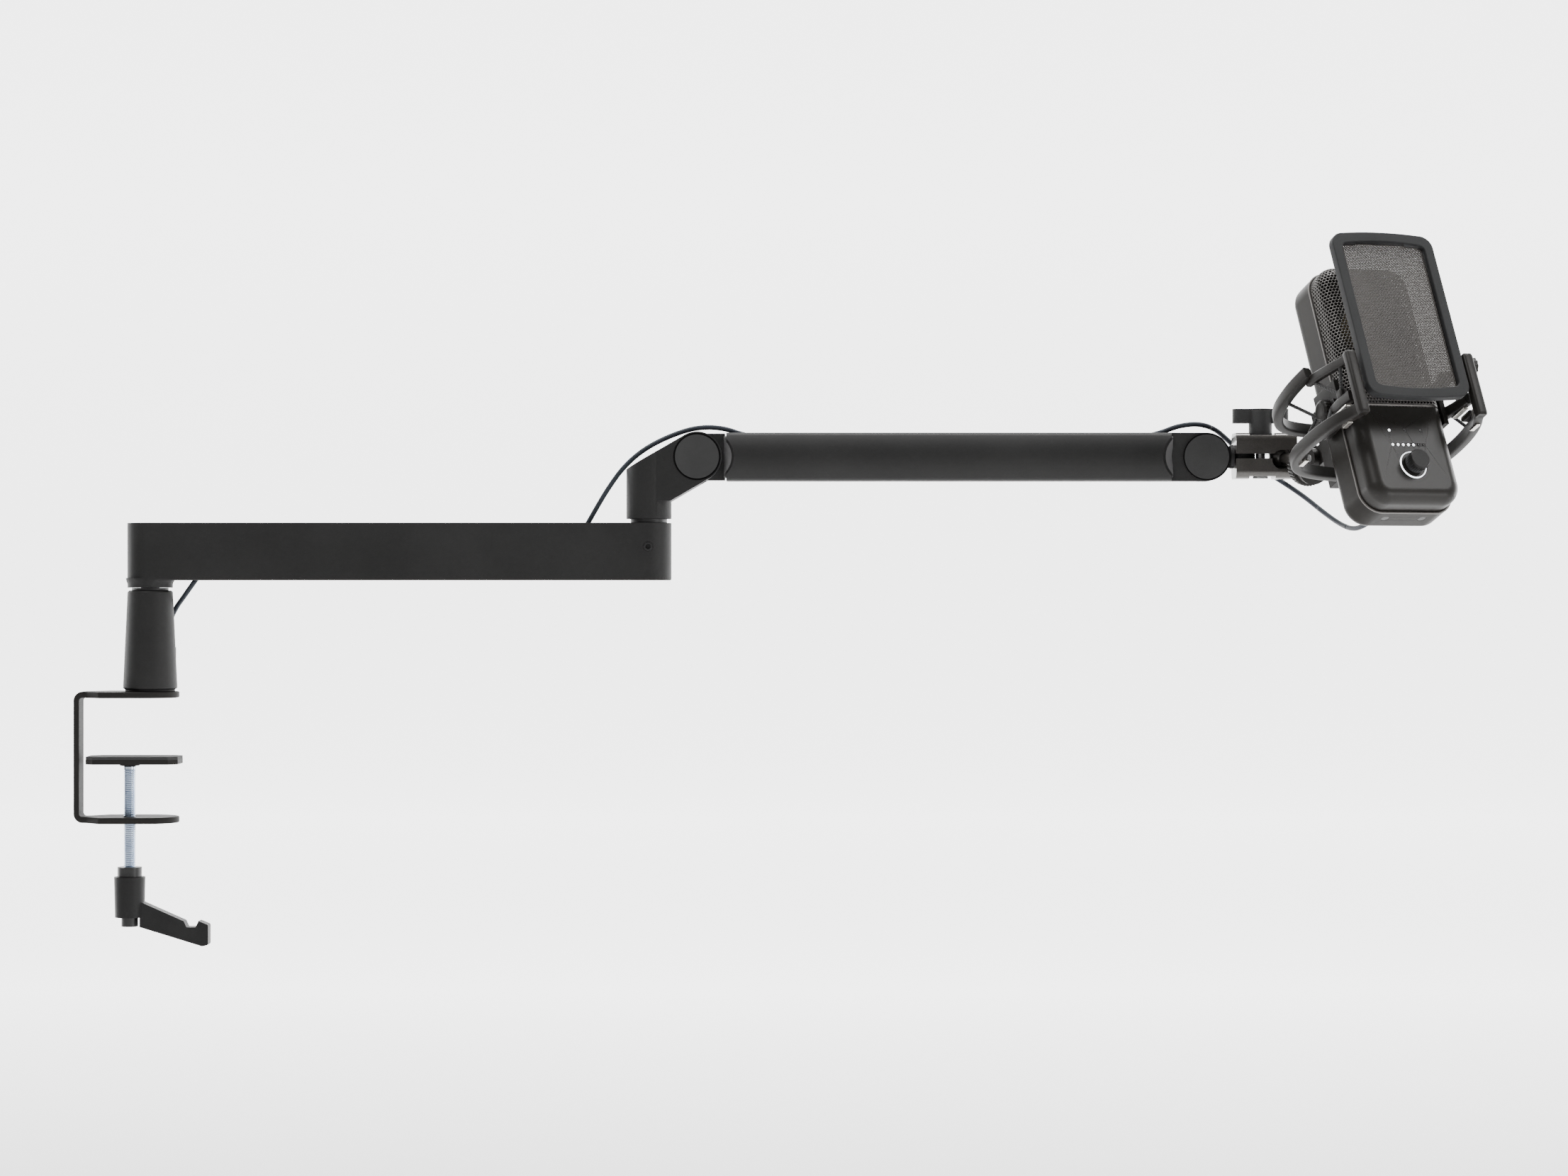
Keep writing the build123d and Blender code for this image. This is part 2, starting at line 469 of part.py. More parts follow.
def insides():
    lenses = [MIC * mic_rod(0.9, (w, MIC_FRONT - 1.9, u), (w, MIC_FRONT + 0.1, u)) for w, u in led_places()]
    ring = mic_rod(9.2, (0, MIC_FRONT - 0.8, KNOB_U), (0, MIC_FRONT + 0.2, KNOB_U))
    ring -= mic_rod(8.2, (0, MIC_FRONT - 0.8, KNOB_U), (0, MIC_FRONT + 0.2, KNOB_U))
    save("indicator_lights", *lenses, MIC * ring)
    save("circuit_board", MIC * mic_block((-26, 26), (-4.0, -2.4), (-76, -22)))
    capsule = mic_rod(15.0, (0, 1, 42), (0, 11, 42)) + mic_rod(17.0, (0, 4, 42), (0, 7, 42))
    save("capsule", MIC * capsule)
    saddle = mic_block((-12, 12), (MIC_BACK + WALL, -6), (30, 54)) + mic_block((-6, 6), (-6, 1), (37, 47))
    save("capsule_mount", MIC * saddle)
    w, u = PORT
    usb = mic_block((w - 4.6, w + 4.6), (MIC_BACK + 0.1, -4.0), (u - 1.8, u + 1.8))
    usb -= mic_block((w - 4.2, w + 4.2), (MIC_BACK, MIC_BACK + 7), (u - 1.4, u + 1.4))
    jack = mic_rod(3.3, (-w, MIC_BACK + 0.1, u), (-w, -4.0, u)) - mic_rod(1.8, (-w, MIC_BACK, u), (-w, -6.0, u))
    save("rear_sockets", MIC * usb, MIC * jack)
    knob = mic_rod(6.7, (0, MIC_FRONT + 1.0, KNOB_U), (0, MIC_FRONT + 9.0, KNOB_U))
    knob = chamfer(knob.edges().group_by(Axis.Y)[0], 0.5) - mic_rod(2.0, (0, 10, KNOB_U), (0, MIC_FRONT + 7, KNOB_U))
    save("gain_knob", MIC * knob)
    shaft = mic_rod(1.95, (0, MIC_FRONT - 6, KNOB_U), (0, MIC_FRONT + 7, KNOB_U))
    save("encoder_shaft", MIC * (shaft + mic_rod(3.0, (0, MIC_FRONT - 6, KNOB_U), (0, MIC_FRONT - 0.4, KNOB_U))))


# ---------------------------------------------------------------- pop filter

POP_U, POP_N, POP_HALF_W, POP_CROWN = (-24.0, 91.0), 43.0, 36.0, 2.2


def pop_plate(thick, inset):
    """Upright plate with crowned top and bottom edges and rounded corners."""
    half, low, high = POP_HALF_W - inset, POP_U[0] + inset, POP_U[1] - inset
    low_side, high_side = low + POP_CROWN, high - POP_CROWN
    lines = Curve() + [ThreePointArc((-half, low_side), (0, low), (half, low_side)),
                       Line((half, low_side), (half, high_side)),
                       ThreePointArc((half, high_side), (0, high), (-half, high_side)),
                       Line((-half, high_side), (-half, low_side))]
    face = fillet(make_face(lines).vertices(), 8.5 - inset * 0.7)
    plane = Plane(origin=micpt(0, POP_N - thick / 2, 0), x_dir=(1, 0, 0), z_dir=(0, -1, 0))
    return extrude(plane * face, thick)


def pop_filter():
    save("pop_frame", MIC * (pop_plate(5.5, 0.0) - pop_plate(7.0, 6.5)))
    save("pop_mesh", MIC * pop_plate(0.8, 6.5))


# ---------------------------------------------------------------- usb cable

ELBOW_ROUTE = [(284.5, 0, 111.5), (291, 0, 123), (299, 0, 136.5), (309, 0, 150.5), (322, 0, 162), (339, 0, 170.8),
               (357, 0, 176.6), (374, 0, 176.2), (388, 0, 171.2), (399, 0, 169.4)]
MIC_ROUTE = [(648, 0, 170), (659, 0, 172.4), (671, 0, 177.4), (685, 2, 179), (696, 8, 176), (704.5, 15.5, 170),
             (713, 21, 162.5), (725, 22.5, 152.5), (740, 16.5, 142.5), (753.5, 1, 131.5), (763, -19, 120.6),
             (770.5, -41, 112.2), (775.2, -62, 108.6)]
LOWER_ROUTE = [(284.5, 0, 111.5), (278, 0, 100), (263, 0, 93), (45, 0, 87), (34.5, 0, 83.5), (29.5, 0, 76.5)]
TAIL_ROUTE = [(29.5, 0, 76.5), (25.6, 0, 71.04), (20.8, 4.8, 65.4), (15.4, 11, 59.5), (11.8, 18, 53.5),
              (9.4, 25.2, 47), (7.0, 30.5, 40)]
UPPER_ROUTE = [(399, 0, 169.4), (410, 0, 167.6), (637, 0, 167.6), (648, 0, 170)]
HANK_X, HANK_Y, HANK_Z, HANK_HALF = -5.5, (20.5, 37.5), (6.0, 67.0), 14.4
BOOT_END = 30.0             # how far the plug's boot stands out of the port


def cord(points, say):
    """A tube along straight runs joined by tangent arcs as large as the runs allow."""
    at = [Vector(*p) for p in points]
    radii = []
    for a, b, c in zip(at, at[1:], at[2:]):
        turn = math.radians((b - a).get_angle(c - b))
        radii.append(0.45 * min((b - a).length, (c - b).length) / math.tan(turn / 2))
    path = FilletPolyline(*at, radius=radii)
    tube = sweep(Plane(origin=path @ 0, z_dir=path % 0) * Circle(CABLE_R), path=path)
    ratio = tube.volume / (math.pi * CABLE_R ** 2 * path.length)
    print(say, "length", round(path.length, 1), "volume ratio", round(ratio, 4), "radii", [round(r) for r in radii])
    return tube


def cable():
    plug_end = world(PORT[0], MIC_BACK - BOOT_END, PORT[1])
    lead_in = plug_end - 9.0 * N_DIR
    save("cable_mic_loop", cord(MIC_ROUTE + [tuple(lead_in), tuple(plug_end)], "mic loop"))
    save("cable_in_upper_arm", cord(UPPER_ROUTE, "upper arm"))
    save("cable_elbow_arc", cord(ELBOW_ROUTE, "elbow arc"))
    save("cable_in_lower_arm", cord(LOWER_ROUTE, "lower arm"))
    save("cable_tail", cord(TAIL_ROUTE, "tail"))
    w, u = PORT
    body = mic_block((w - 5.6, w + 5.6), (MIC_BACK - 18, MIC_BACK - 0.2), (u - 3.2, u + 3.2))
    body = fillet(body.edges().filter_by(Axis.Y), 2.8)
    boot = mic_rod(3.0, (w, MIC_BACK - 18, u), (w, MIC_BACK - BOOT_END, u), 2.0)
    shell = mic_block((w - 4.1, w + 4.1), (MIC_BACK - 0.2, MIC_BACK + 6.5), (u - 1.3, u + 1.3))
    save("mic_plug", MIC * (body + boot + shell))
    z0, z1 = HANK_Z
    coil = block((HANK_X - HANK_HALF, HANK_X + HANK_HALF), HANK_Y, (z0 + HANK_HALF, z1 - HANK_HALF))
    for z in (z0 + HANK_HALF, z1 - HANK_HALF):
        coil += rod(HANK_HALF, (HANK_X, HANK_Y[0], z), (HANK_X, HANK_Y[1], z))
    save("cable_hank", coil)
    y = HANK_Y[1] + 0.3
    plug = block((HANK_X - 6, HANK_X + 6), (y, y + 4.6), (14, 30)) + block((HANK_X - 4.2, HANK_X + 4.2), (y + 1, y + 3.4), (7.6, 14))
    save("cable_end_plug", plug + rod(2.2, (HANK_X, y + 2.3, 30), (HANK_X, y + 2.3, 36), 1.7))


os.makedirs("parts", exist_ok=True)
clamp_bracket()
riser()
pad()
clamp_screw()
handle_lever()
lower_arm()
elbow_bracket()
upper_arm()
wrist()
ball_clamp()
stud()
tilt_hub()
shock_mount()
cradle()
housing()
insides()
pop_filter()
cable()
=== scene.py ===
"""Condenser microphone with shock mount and pop filter on a low boom arm.

Points, radii and edge widths are in millimetres here. Materials, lights and the camera are in metres.
"""
import json
import math

import bpy
from mathutils import Matrix, Vector


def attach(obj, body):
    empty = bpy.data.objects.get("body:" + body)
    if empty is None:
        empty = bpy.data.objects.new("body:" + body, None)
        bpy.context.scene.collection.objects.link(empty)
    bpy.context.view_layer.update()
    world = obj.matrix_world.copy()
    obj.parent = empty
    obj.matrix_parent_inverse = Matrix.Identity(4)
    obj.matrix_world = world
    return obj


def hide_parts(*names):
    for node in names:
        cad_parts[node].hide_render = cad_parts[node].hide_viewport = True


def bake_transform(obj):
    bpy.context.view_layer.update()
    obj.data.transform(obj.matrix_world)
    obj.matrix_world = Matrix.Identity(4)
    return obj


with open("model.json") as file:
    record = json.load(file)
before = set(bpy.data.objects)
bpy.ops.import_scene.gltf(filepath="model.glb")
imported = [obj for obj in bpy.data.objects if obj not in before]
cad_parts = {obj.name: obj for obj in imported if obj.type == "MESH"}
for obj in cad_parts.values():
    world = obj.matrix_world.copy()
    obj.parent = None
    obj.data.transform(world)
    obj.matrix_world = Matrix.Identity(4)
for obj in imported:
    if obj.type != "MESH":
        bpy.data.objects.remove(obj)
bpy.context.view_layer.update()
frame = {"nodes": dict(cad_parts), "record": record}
NODES = frame["nodes"]
RECORD = frame["record"]
MM = 0.001
TAU = 2 * math.pi

# ------------------------------------------------------------------ places in the row frame, mm

YAW, PITCH = math.radians(22.0), math.radians(24.5)
W_DIR = Vector((math.cos(YAW), math.sin(YAW), 0))
N_DIR = Vector((math.sin(YAW) * math.cos(PITCH), -math.cos(YAW) * math.cos(PITCH), math.sin(PITCH)))
U_DIR = Vector((-math.sin(YAW) * math.sin(PITCH), math.cos(YAW) * math.sin(PITCH), math.cos(PITCH)))
MIC_CENTRE = Vector((781.6, -110.0, 190.1))
STUD_BALL = Vector((738.0, 0, 157.2))
HUB_BACK, HUB_DROP = 88.0, 4.0
HUB = MIC_CENTRE - HUB_BACK * N_DIR - HUB_DROP * U_DIR
STUD_DIR = (HUB - STUD_BALL).normalized()
ROOT, TIP = (357.4, 156.9), (688.9, 156.9)            # x and z of the upper arm's pivots
KNOB_U, PANEL_TOP = -56.9, -17.0


def place(origin, x, y, z):
    """Matrix from a part's own axes, in mm, to the row frame, in metres."""
    m = Matrix.Identity(4)
    for i, axis in enumerate((x, y, z, origin)):
        for j in range(3):
            m[j][i] = axis[j]
    return Matrix.Scale(MM, 4) @ m


WORLD = Matrix.Scale(MM, 4)
MIC = place(MIC_CENTRE, W_DIR, -N_DIR, U_DIR)          # own axes are w, -n, u


def along(origin, direction):
    """Own Z runs along direction."""
    z = Vector(direction).normalized()
    x = z.orthogonal().normalized()
    return place(Vector(origin), x, z.cross(x), z)


def micpt(w, n, u):
    return MIC_CENTRE + w * W_DIR + n * N_DIR + u * U_DIR


# ------------------------------------------------------------------ materials

PATCH_SHARE = 0.6                 # of the pattern; the rest is grain
RAMP_ENDS, ROUGH_ENDS = (0.36, 0.64), (0.3, 0.7)
SCRATCH_SCALE, SCRATCH_DETAIL, SCRATCH_SPAN = 90.0, 4.0, (0.45, 0.75)


def material(name, dark, light, rough, metallic=0.0, patch=25.0, grain=1800.0, bump=0.12, depth=0.00008,
             coat=0.0, coat_rough=0.2, specular=0.5, sheen=0.0, scratch=0.0):
    """Colour and roughness vary slowly in patches and finely in grains, and the grain lifts the surface."""
    mat = bpy.data.materials.new(name)
    mat.use_nodes = True
    tree = mat.node_tree
    link = tree.links.new
    bsdf = tree.nodes["Principled BSDF"]
    for socket, value in (("Metallic", metallic), ("Specular IOR Level", specular), ("Coat Weight", coat),
                          ("Coat Roughness", coat_rough), ("Sheen Weight", sheen)):
        bsdf.inputs[socket].default_value = value
    where = tree.nodes.new("ShaderNodeTexCoord").outputs["Object"]
    slow = noise(tree, where, patch, 3.0)
    fine = noise(tree, where, grain, 2.0)
    both = math_node(tree, "ADD", math_node(tree, "MULTIPLY", slow, PATCH_SHARE),
                     math_node(tree, "MULTIPLY", fine, 1 - PATCH_SHARE))
    ramp = tree.nodes.new("ShaderNodeValToRGB")
    for element, position, colour in zip(ramp.color_ramp.elements, RAMP_ENDS, (dark, light)):
        element.position = position
        element.color = (*colour, 1)
    link(both, ramp.inputs[0])
    link(ramp.outputs[0], bsdf.inputs["Base Color"])
    spread = map_range(tree, both, *ROUGH_ENDS, *rough)
    if scratch:
        stretch = tree.nodes.new("ShaderNodeMapping")
        stretch.inputs["Scale"].default_value = (1.0, 1.0, 40.0)
        link(where, stretch.inputs[0])
        lines = noise(tree, stretch.outputs[0], SCRATCH_SCALE, SCRATCH_DETAIL)
        spread = math_node(tree, "ADD", spread, map_range(tree, lines, *SCRATCH_SPAN, 0.0, scratch))
    link(spread, bsdf.inputs["Roughness"])
    lift = tree.nodes.new("ShaderNodeBump")
    lift.inputs["Strength"].default_value = bump
    lift.inputs["Distance"].default_value = depth
    link(fine, lift.inputs["Height"])
    link(lift.outputs[0], bsdf.inputs["Normal"])
    return mat


def noise(tree, where, scale, detail):
    node = tree.nodes.new("ShaderNodeTexNoise")
    node.inputs["Scale"].default_value = scale
    node.inputs["Detail"].default_value = detail
    tree.links.new(where, node.inputs["Vector"])
    return node.outputs[0]


def math_node(tree, operation, a, b):
    node = tree.nodes.new("ShaderNodeMath")
    node.operation = operation
    for socket, value in zip(node.inputs, (a, b)):
        if isinstance(value, (int, float)):
            socket.default_value = value
        else:
            tree.links.new(value, socket)
    return node.outputs[0]


def map_range(tree, value, a, b, c, d):
    node = tree.nodes.new("ShaderNodeMapRange")
    for name, number in (("From Min", a), ("From Max", b), ("To Min", c), ("To Max", d)):
        node.inputs[name].default_value = number
    tree.links.new(value, node.inputs["Value"])
    return node.outputs[0]


def grey(v, warm=0.0):
    return (v * (1 + warm), v, v * (1 - warm))


def glow(name, colour, strength, direction=None, span=(0.0, 1.0), levels=(1.0, 1.0)):
    """A lit lens. With a direction, the light falls off across the piece."""
    mat = material(name, colour, colour, (0.25, 0.35), bump=0.0)
    tree = mat.node_tree
    bsdf = tree.nodes["Principled BSDF"]
    bsdf.inputs["Emission Color"].default_value = (*colour, 1)
    bsdf.inputs["Emission Strength"].default_value = strength
    if direction is not None:
        where = tree.nodes.new("ShaderNodeTexCoord").outputs["Object"]
        dot = tree.nodes.new("ShaderNodeVectorMath")
        dot.operation = "DOT_PRODUCT"
        dot.inputs[1].default_value = direction
        tree.links.new(where, dot.inputs[0])
        level = map_range(tree, dot.outputs["Value"], *span, *levels)
        tree.links.new(level, bsdf.inputs["Emission Strength"])
    return mat


MATS = {
    "bracket_paint": material("bracket_paint", grey(0.011, 0.06), grey(0.015, 0.06), (0.45, 0.55), patch=35,
                              grain=1400, bump=0.10, scratch=0.10, specular=0.08),
    "arm_coat": material("arm_coat", grey(0.0085, 0.01), grey(0.0135, 0.01), (0.50, 0.60), patch=16,
                         grain=2300, bump=0.5, depth=0.00012, specular=0.2),
    "cap_coat": material("cap_coat", grey(0.020), grey(0.028), (0.5, 0.6), patch=30, grain=2600, bump=0.4,
                         depth=0.0001, specular=0.25),
    "zinc_steel": material("zinc_steel", (0.40, 0.47, 0.58), (0.68, 0.74, 0.82), (0.16, 0.26), 1.0, patch=60,
                           grain=1500, bump=0.05),
    "pin_steel": material("pin_steel", grey(0.25), grey(0.42), (0.25, 0.4), 1.0, patch=60, bump=0.05),
    "black_steel": material("black_steel", grey(0.010), grey(0.02), (0.3, 0.45), 0.4, patch=60, bump=0.08),
    "pad_rubber": material("pad_rubber", grey(0.008), grey(0.014), (0.7, 0.85), patch=40, grain=1500,
                           bump=0.3),
    "nylon": material("nylon", grey(0.012), grey(0.02), (0.4, 0.55), patch=40, bump=0.06),
    "handle_plastic": material("handle_plastic", grey(0.0055), grey(0.0095), (0.40, 0.52), patch=30,
                               grain=1700, bump=0.45, depth=0.0001, specular=0.18),
    "gunmetal": material("gunmetal", grey(0.036, 0.08), grey(0.055, 0.08), (0.28, 0.36), 0.6, patch=30,
                         grain=1200, bump=0.04, coat=0.5, coat_rough=0.08),
    "mount_plastic": material("mount_plastic", grey(0.0065, 0.10), grey(0.011, 0.10), (0.36, 0.46), patch=30,
                              grain=1900, bump=0.2, specular=0.16),
    "elastic": material("elastic", grey(0.006), grey(0.014), (0.75, 0.9), patch=200, grain=2500, bump=0.6,
                        depth=0.0001, sheen=0.1),
    "clip_metal": material("clip_metal", (0.50, 0.48, 0.44), (0.78, 0.75, 0.70), (0.22, 0.35), 1.0, patch=120,
                           bump=0.05),
    "shell_coat": material("shell_coat", grey(0.0075, 0.12), grey(0.011, 0.12), (0.32, 0.40), patch=18,
                           grain=2600, bump=0.10, depth=0.00005, specular=0.08),
    "grille_steel": material("grille_steel", grey(0.050, 0.06), grey(0.080, 0.06), (0.34, 0.42), 0.6,
                             patch=50, grain=1800, bump=0.08),
    "capsule_gold": material("capsule_gold", (0.10, 0.08, 0.04), (0.16, 0.13, 0.07), (0.4, 0.5), 0.8,
                             bump=0.04),
    "frame_plastic": material("frame_plastic", grey(0.008), grey(0.014), (0.5, 0.6), bump=0.08),
    "board": material("board", (0.005, 0.03, 0.015), (0.01, 0.05, 0.02), (0.3, 0.45), patch=300, bump=0.1),
    "light": glow("light", (0.95, 0.97, 1.0), 2.0),
    "knob_plastic": material("knob_plastic", grey(0.007, 0.04), grey(0.011, 0.04), (0.40, 0.50), patch=60,
                             grain=2400, bump=0.15, specular=0.14),
    "socket_metal": material("socket_metal", grey(0.5), grey(0.7), (0.15, 0.25), 1.0, bump=0.03),
    "pop_frame": material("pop_frame", grey(0.016, -0.02), grey(0.022, -0.02), (0.46, 0.54), patch=25,
                          grain=2200, bump=0.2, specular=0.08),
    "pop_mesh": material("pop_mesh", grey(0.023, 0.10), grey(0.032, 0.10), (0.36, 0.46), 0.5, patch=30,
                         grain=1800, bump=0.05),
    "cable_jacket": material("cable_jacket", (0.020, 0.023, 0.029), (0.028, 0.032, 0.040), (0.40, 0.50),
                             patch=80, grain=1600, bump=0.12, specular=0.12),
    "plug_plastic": material("plug_plastic", grey(0.008), grey(0.014), (0.4, 0.5), patch=80, bump=0.15),
}
PANEL = material("panel_coat", grey(0.009, 0.10), grey(0.013, 0.10), (0.34, 0.40), patch=18, grain=2600,
                 bump=0.08, depth=0.00005, specular=0.2)
T_KNOB = material("t_knob_plastic", grey(0.018), grey(0.026), (0.42, 0.52), patch=30, grain=1700, bump=0.3,
                  specular=0.3)
# Painted shadow: near black, for the ring that stands in for shade at a cap's rim.
GAP_SHADOW_BLACK = material("gap_shadow_black", grey(0.0010), grey(0.0025), (0.8, 0.9), bump=0.02, specular=0.05)
DIM_LENS = material("dim_lens", grey(0.012), grey(0.02), (0.2, 0.3), bump=0.02)
RIM_LIGHT = material("rim_light", grey(0.07, 0.06), grey(0.11, 0.06), (0.35, 0.45), 0.3, bump=0.05)

SLOT_OF = {s["node"]: s["material_slot"] for s in RECORD["subparts"]}
NO_EDGE = {"cable_in_upper_arm", "cable_in_lower_arm", "pop_mesh", "circuit_board", "capsule",
           "capsule_mount"}
PLAIN_EDGE = 0.25                 # width of the rounding, mm, where EDGE has none
EDGE = {"clamp_bracket": 0.7, "handle_lever": 0.4, "elbow_bracket": 0.6, "root_knuckle": 0.35,
        "tip_fork": 0.35, "mount_frame": 0.8, "pop_frame": 0.7, "t_knob": 0.6, "mount_cradle": 0.5,
        "socket_upper": 0.5, "socket_lower": 0.5, "riser_post": 0.4, "lower_arm_beam": 0.4, "pad_rubber": 0.4,
        "pad_plate": 0.5}
WELD_GAP = 0.000002               # metres


# Painted highlight: faces slanted both across and in depth get this lighter base colour.
HIGHLIGHT_SLANT_SPAN, PAINTED_HIGHLIGHT_COLOUR = (0.12, 0.26), (0.085, 0.084, 0.085)


def slant_highlight_coat():
    """Arm coat with painted highlights: a lighter base than the arm coat, and lighter still on the slanted
    faces next to each pivot, where the light catches them.
    """
    mat = material("arm_painted_highlight_coat", grey(0.013, 0.01), grey(0.019, 0.01), (0.50, 0.60), patch=16, grain=2300,
                   bump=0.5, depth=0.00012, specular=0.2)
    tree = mat.node_tree
    bsdf = tree.nodes["Principled BSDF"]
    coat = bsdf.inputs["Base Color"].links[0].from_socket
    split = tree.nodes.new("ShaderNodeSeparateXYZ")
    tree.links.new(tree.nodes.new("ShaderNodeTexCoord").outputs["Normal"], split.inputs[0])
    across = math_node(tree, "ABSOLUTE", split.outputs["X"], 0.0)
    deep = math_node(tree, "ABSOLUTE", split.outputs["Y"], 0.0)
    highlight_mask = map_range(tree, math_node(tree, "MULTIPLY", across, deep), *HIGHLIGHT_SLANT_SPAN, 0.0, 1.0)
    mix = tree.nodes.new("ShaderNodeMixRGB")
    mix.inputs[2].default_value = (*PAINTED_HIGHLIGHT_COLOUR, 1)
    tree.links.new(highlight_mask, mix.inputs[0])
    tree.links.new(coat, mix.inputs[1])
    tree.links.new(mix.outputs[0], bsdf.inputs["Base Color"])
    return mat


def soften(obj, width):
    """Real edges are never sharp: a small rounding on every hard edge."""
    weld = obj.modifiers.new("weld", "WELD")
    weld.merge_threshold = WELD_GAP
    edge = obj.modifiers.new("edge", "BEVEL")
    edge.width = width * MM
    edge.segments = 2
    edge.limit_method = "ANGLE"
    edge.angle_limit = math.radians(38)
    edge.use_clamp_overlap = True
    even = obj.modifiers.new("even", "WEIGHTED_NORMAL")
    even.weight = 50
    even.keep_sharp = False


def paint(obj, mat):
    obj.data.materials.clear()
    obj.data.materials.append(mat)


# The knuckles wear the arm coat with the painted highlight on their slanted faces.
SLANT_HIGHLIGHT_COAT = slant_highlight_coat()
OWN_LOOK = {"root_knuckle": SLANT_HIGHLIGHT_COAT, "tip_fork": SLANT_HIGHLIGHT_COAT, "t_knob": T_KNOB, "front_panel": PANEL}
for name, obj in NODES.items():
    paint(obj, OWN_LOOK.get(name, MATS[SLOT_OF[name]]))
    obj.data.shade_smooth()
    if name not in NO_EDGE:
        soften(obj, EDGE.get(name, PLAIN_EDGE))


# ------------------------------------------------------------------ building blocks

def piece(name, verts, faces, body, slot, matrix=WORLD, mat=None, smooth=50, replaces=()):
    """A mesh from points in mm, placed by matrix, that rides on a body."""
    mesh = bpy.data.meshes.new(name)
    mesh.from_pydata([tuple(v) for v in verts], [], faces)
    mesh.transform(matrix)
    mesh.validate()
    mesh.update()
    obj = bpy.data.objects.new(name, mesh)
    bpy.context.scene.collection.objects.link(obj)
    mesh.materials.append(mat or MATS[slot])
    for poly in mesh.polygons:
        poly.use_smooth = True
    if smooth:
        mesh.set_sharp_from_angle(angle=math.radians(smooth))
    if body:
        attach(obj, body)
    if replaces:
        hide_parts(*replaces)
    return obj


def turned(profile, segments=48, wave=None):
    """Points and faces of a turned solid from (radius, z) or (radius, z, amount) of wave(i)."""
    verts, faces = [], []
    for row in profile:
        for i in range(segments):
            r = row[0] + (row[2] * wave(i) if len(row) > 2 else 0.0)
            a = TAU * i / segments
            verts.append((r * math.cos(a), r * math.sin(a), row[1]))
    for j in range(len(profile) - 1):
        for i in range(segments):
            k = (i + 1) % segments
            faces.append((j * segments + i, j * segments + k, (j + 1) * segments + k, (j + 1) * segments + i))
    faces.append(tuple(reversed(range(segments))))
    last = (len(profile) - 1) * segments
    faces.append(tuple(range(last, last + segments)))
    return verts, faces


def turned_ring(profile, segments=96, wave=None):
    """A turned solid with a bore: its section closes on itself instead of being capped."""
    verts, faces = turned(profile, segments, wave)
    last = (len(profile) - 1) * segments
    bore = [(last + i, last + (i + 1) % segments, (i + 1) % segments, i) for i in range(segments)]
    return verts, faces[:-2] + bore


def box_part(x, y, z):
    """Box between the (low, high) pairs x, y and z."""
    verts = [(a, b, c) for a in x for b in y for c in z]
    faces = [(0, 1, 3, 2), (4, 6, 7, 5), (0, 4, 5, 1), (2, 3, 7, 6), (0, 2, 6, 4), (1, 5, 7, 3)]
    return verts, faces


def round_edges(obj, width, angle=30):
    """Rounds a made piece's edges sharper than angle, in degrees; width is in mm."""
    edge = obj.modifiers.new("edge", "BEVEL")
    edge.width, edge.segments = width * MM, 2
    edge.limit_method, edge.angle_limit = "ANGLE", math.radians(angle)


def thicken(obj, thickness, offset):
    """Gives a made sheet its thickness, in mm."""
    solid = obj.modifiers.new("solid", "SOLIDIFY")
    solid.thickness, solid.offset = thickness * MM, offset


def joined(parts):
    """Several (verts, faces) as one."""
    verts, faces = [], []
    for v, f in parts:
        base = len(verts)
        verts += v
        faces += [tuple(base + i for i in face) for face in f]
    return verts, faces


def shifted(part, x=0.0, y=0.0, z=0.0):
    """The same part, moved."""
    v, f = part
    return [(p[0] + x, p[1] + y, p[2] + z) for p in v], f


def smooth_line(points, resolution=8):
    """The points, in mm, along the NURBS line that has these control points."""
    curve = bpy.data.curves.new("route", "CURVE")
    curve.dimensions = "3D"
    spline = curve.splines.new("NURBS")
    spline.points.add(len(points) - 1)
    for at, p in zip(spline.points, points):
        at.co = (*[c * MM for c in p], 1.0)
    spline.order_u = 3
    spline.use_endpoint_u = True
    spline.resolution_u = resolution
    obj = bpy.data.objects.new("route", curve)
    bpy.context.scene.collection.objects.link(obj)
    bpy.context.view_layer.update()
    mesh = bpy.data.meshes.new_from_object(obj)
    line = [v.co / MM for v in mesh.vertices]
    bpy.data.objects.remove(obj)
    bpy.data.curves.remove(curve)
    bpy.data.meshes.remove(mesh)
    return line


def length_of(line):
    return sum((b - a).length for a, b in zip(line, line[1:]))


def tube(line, radius, sides=14, capped=True):
    """Round tube along a line of points."""
    verts, faces = [], []
    side = None
    for i, p in enumerate(line):
        ahead = line[min(i + 1, len(line) - 1)] - line[max(i - 1, 0)]
        ahead.normalize()
        if side is None:
            side = ahead.orthogonal().normalized()
        side = (side - ahead * side.dot(ahead)).normalized()
        up = ahead.cross(side)
        for k in range(sides):
            a = TAU * k / sides
            verts.append(p + (side * math.cos(a) + up * math.sin(a)) * radius)
    for i in range(len(line) - 1):
        for k in range(sides):
            n = (k + 1) % sides
            faces.append((i * sides + k, i * sides + n, (i + 1) * sides + n, (i + 1) * sides + k))
    if capped:
        faces.append(tuple(reversed(range(sides))))
        last = (len(line) - 1) * sides
        faces.append(tuple(range(last, last + sides)))
    return verts, faces


def cut_line(line, marks):
    """Splits a line at distances from its start; neighbours share the point."""
    pieces, current, done = [], [line[0]], 0.0
    marks = list(marks)
    for a, b in zip(line, line[1:]):
        step = (b - a).length
        while marks and done + step >= marks[0]:
            at = a.lerp(b, (marks[0] - done) / step)
            current.append(at)
            pieces.append(current)
            current = [at]
            marks.pop(0)
        if (b - current[-1]).length > 1e-6:
            current.append(b)
        done += step
    pieces.append(current)
    return pieces


# ------------------------------------------------------------------ usb cable

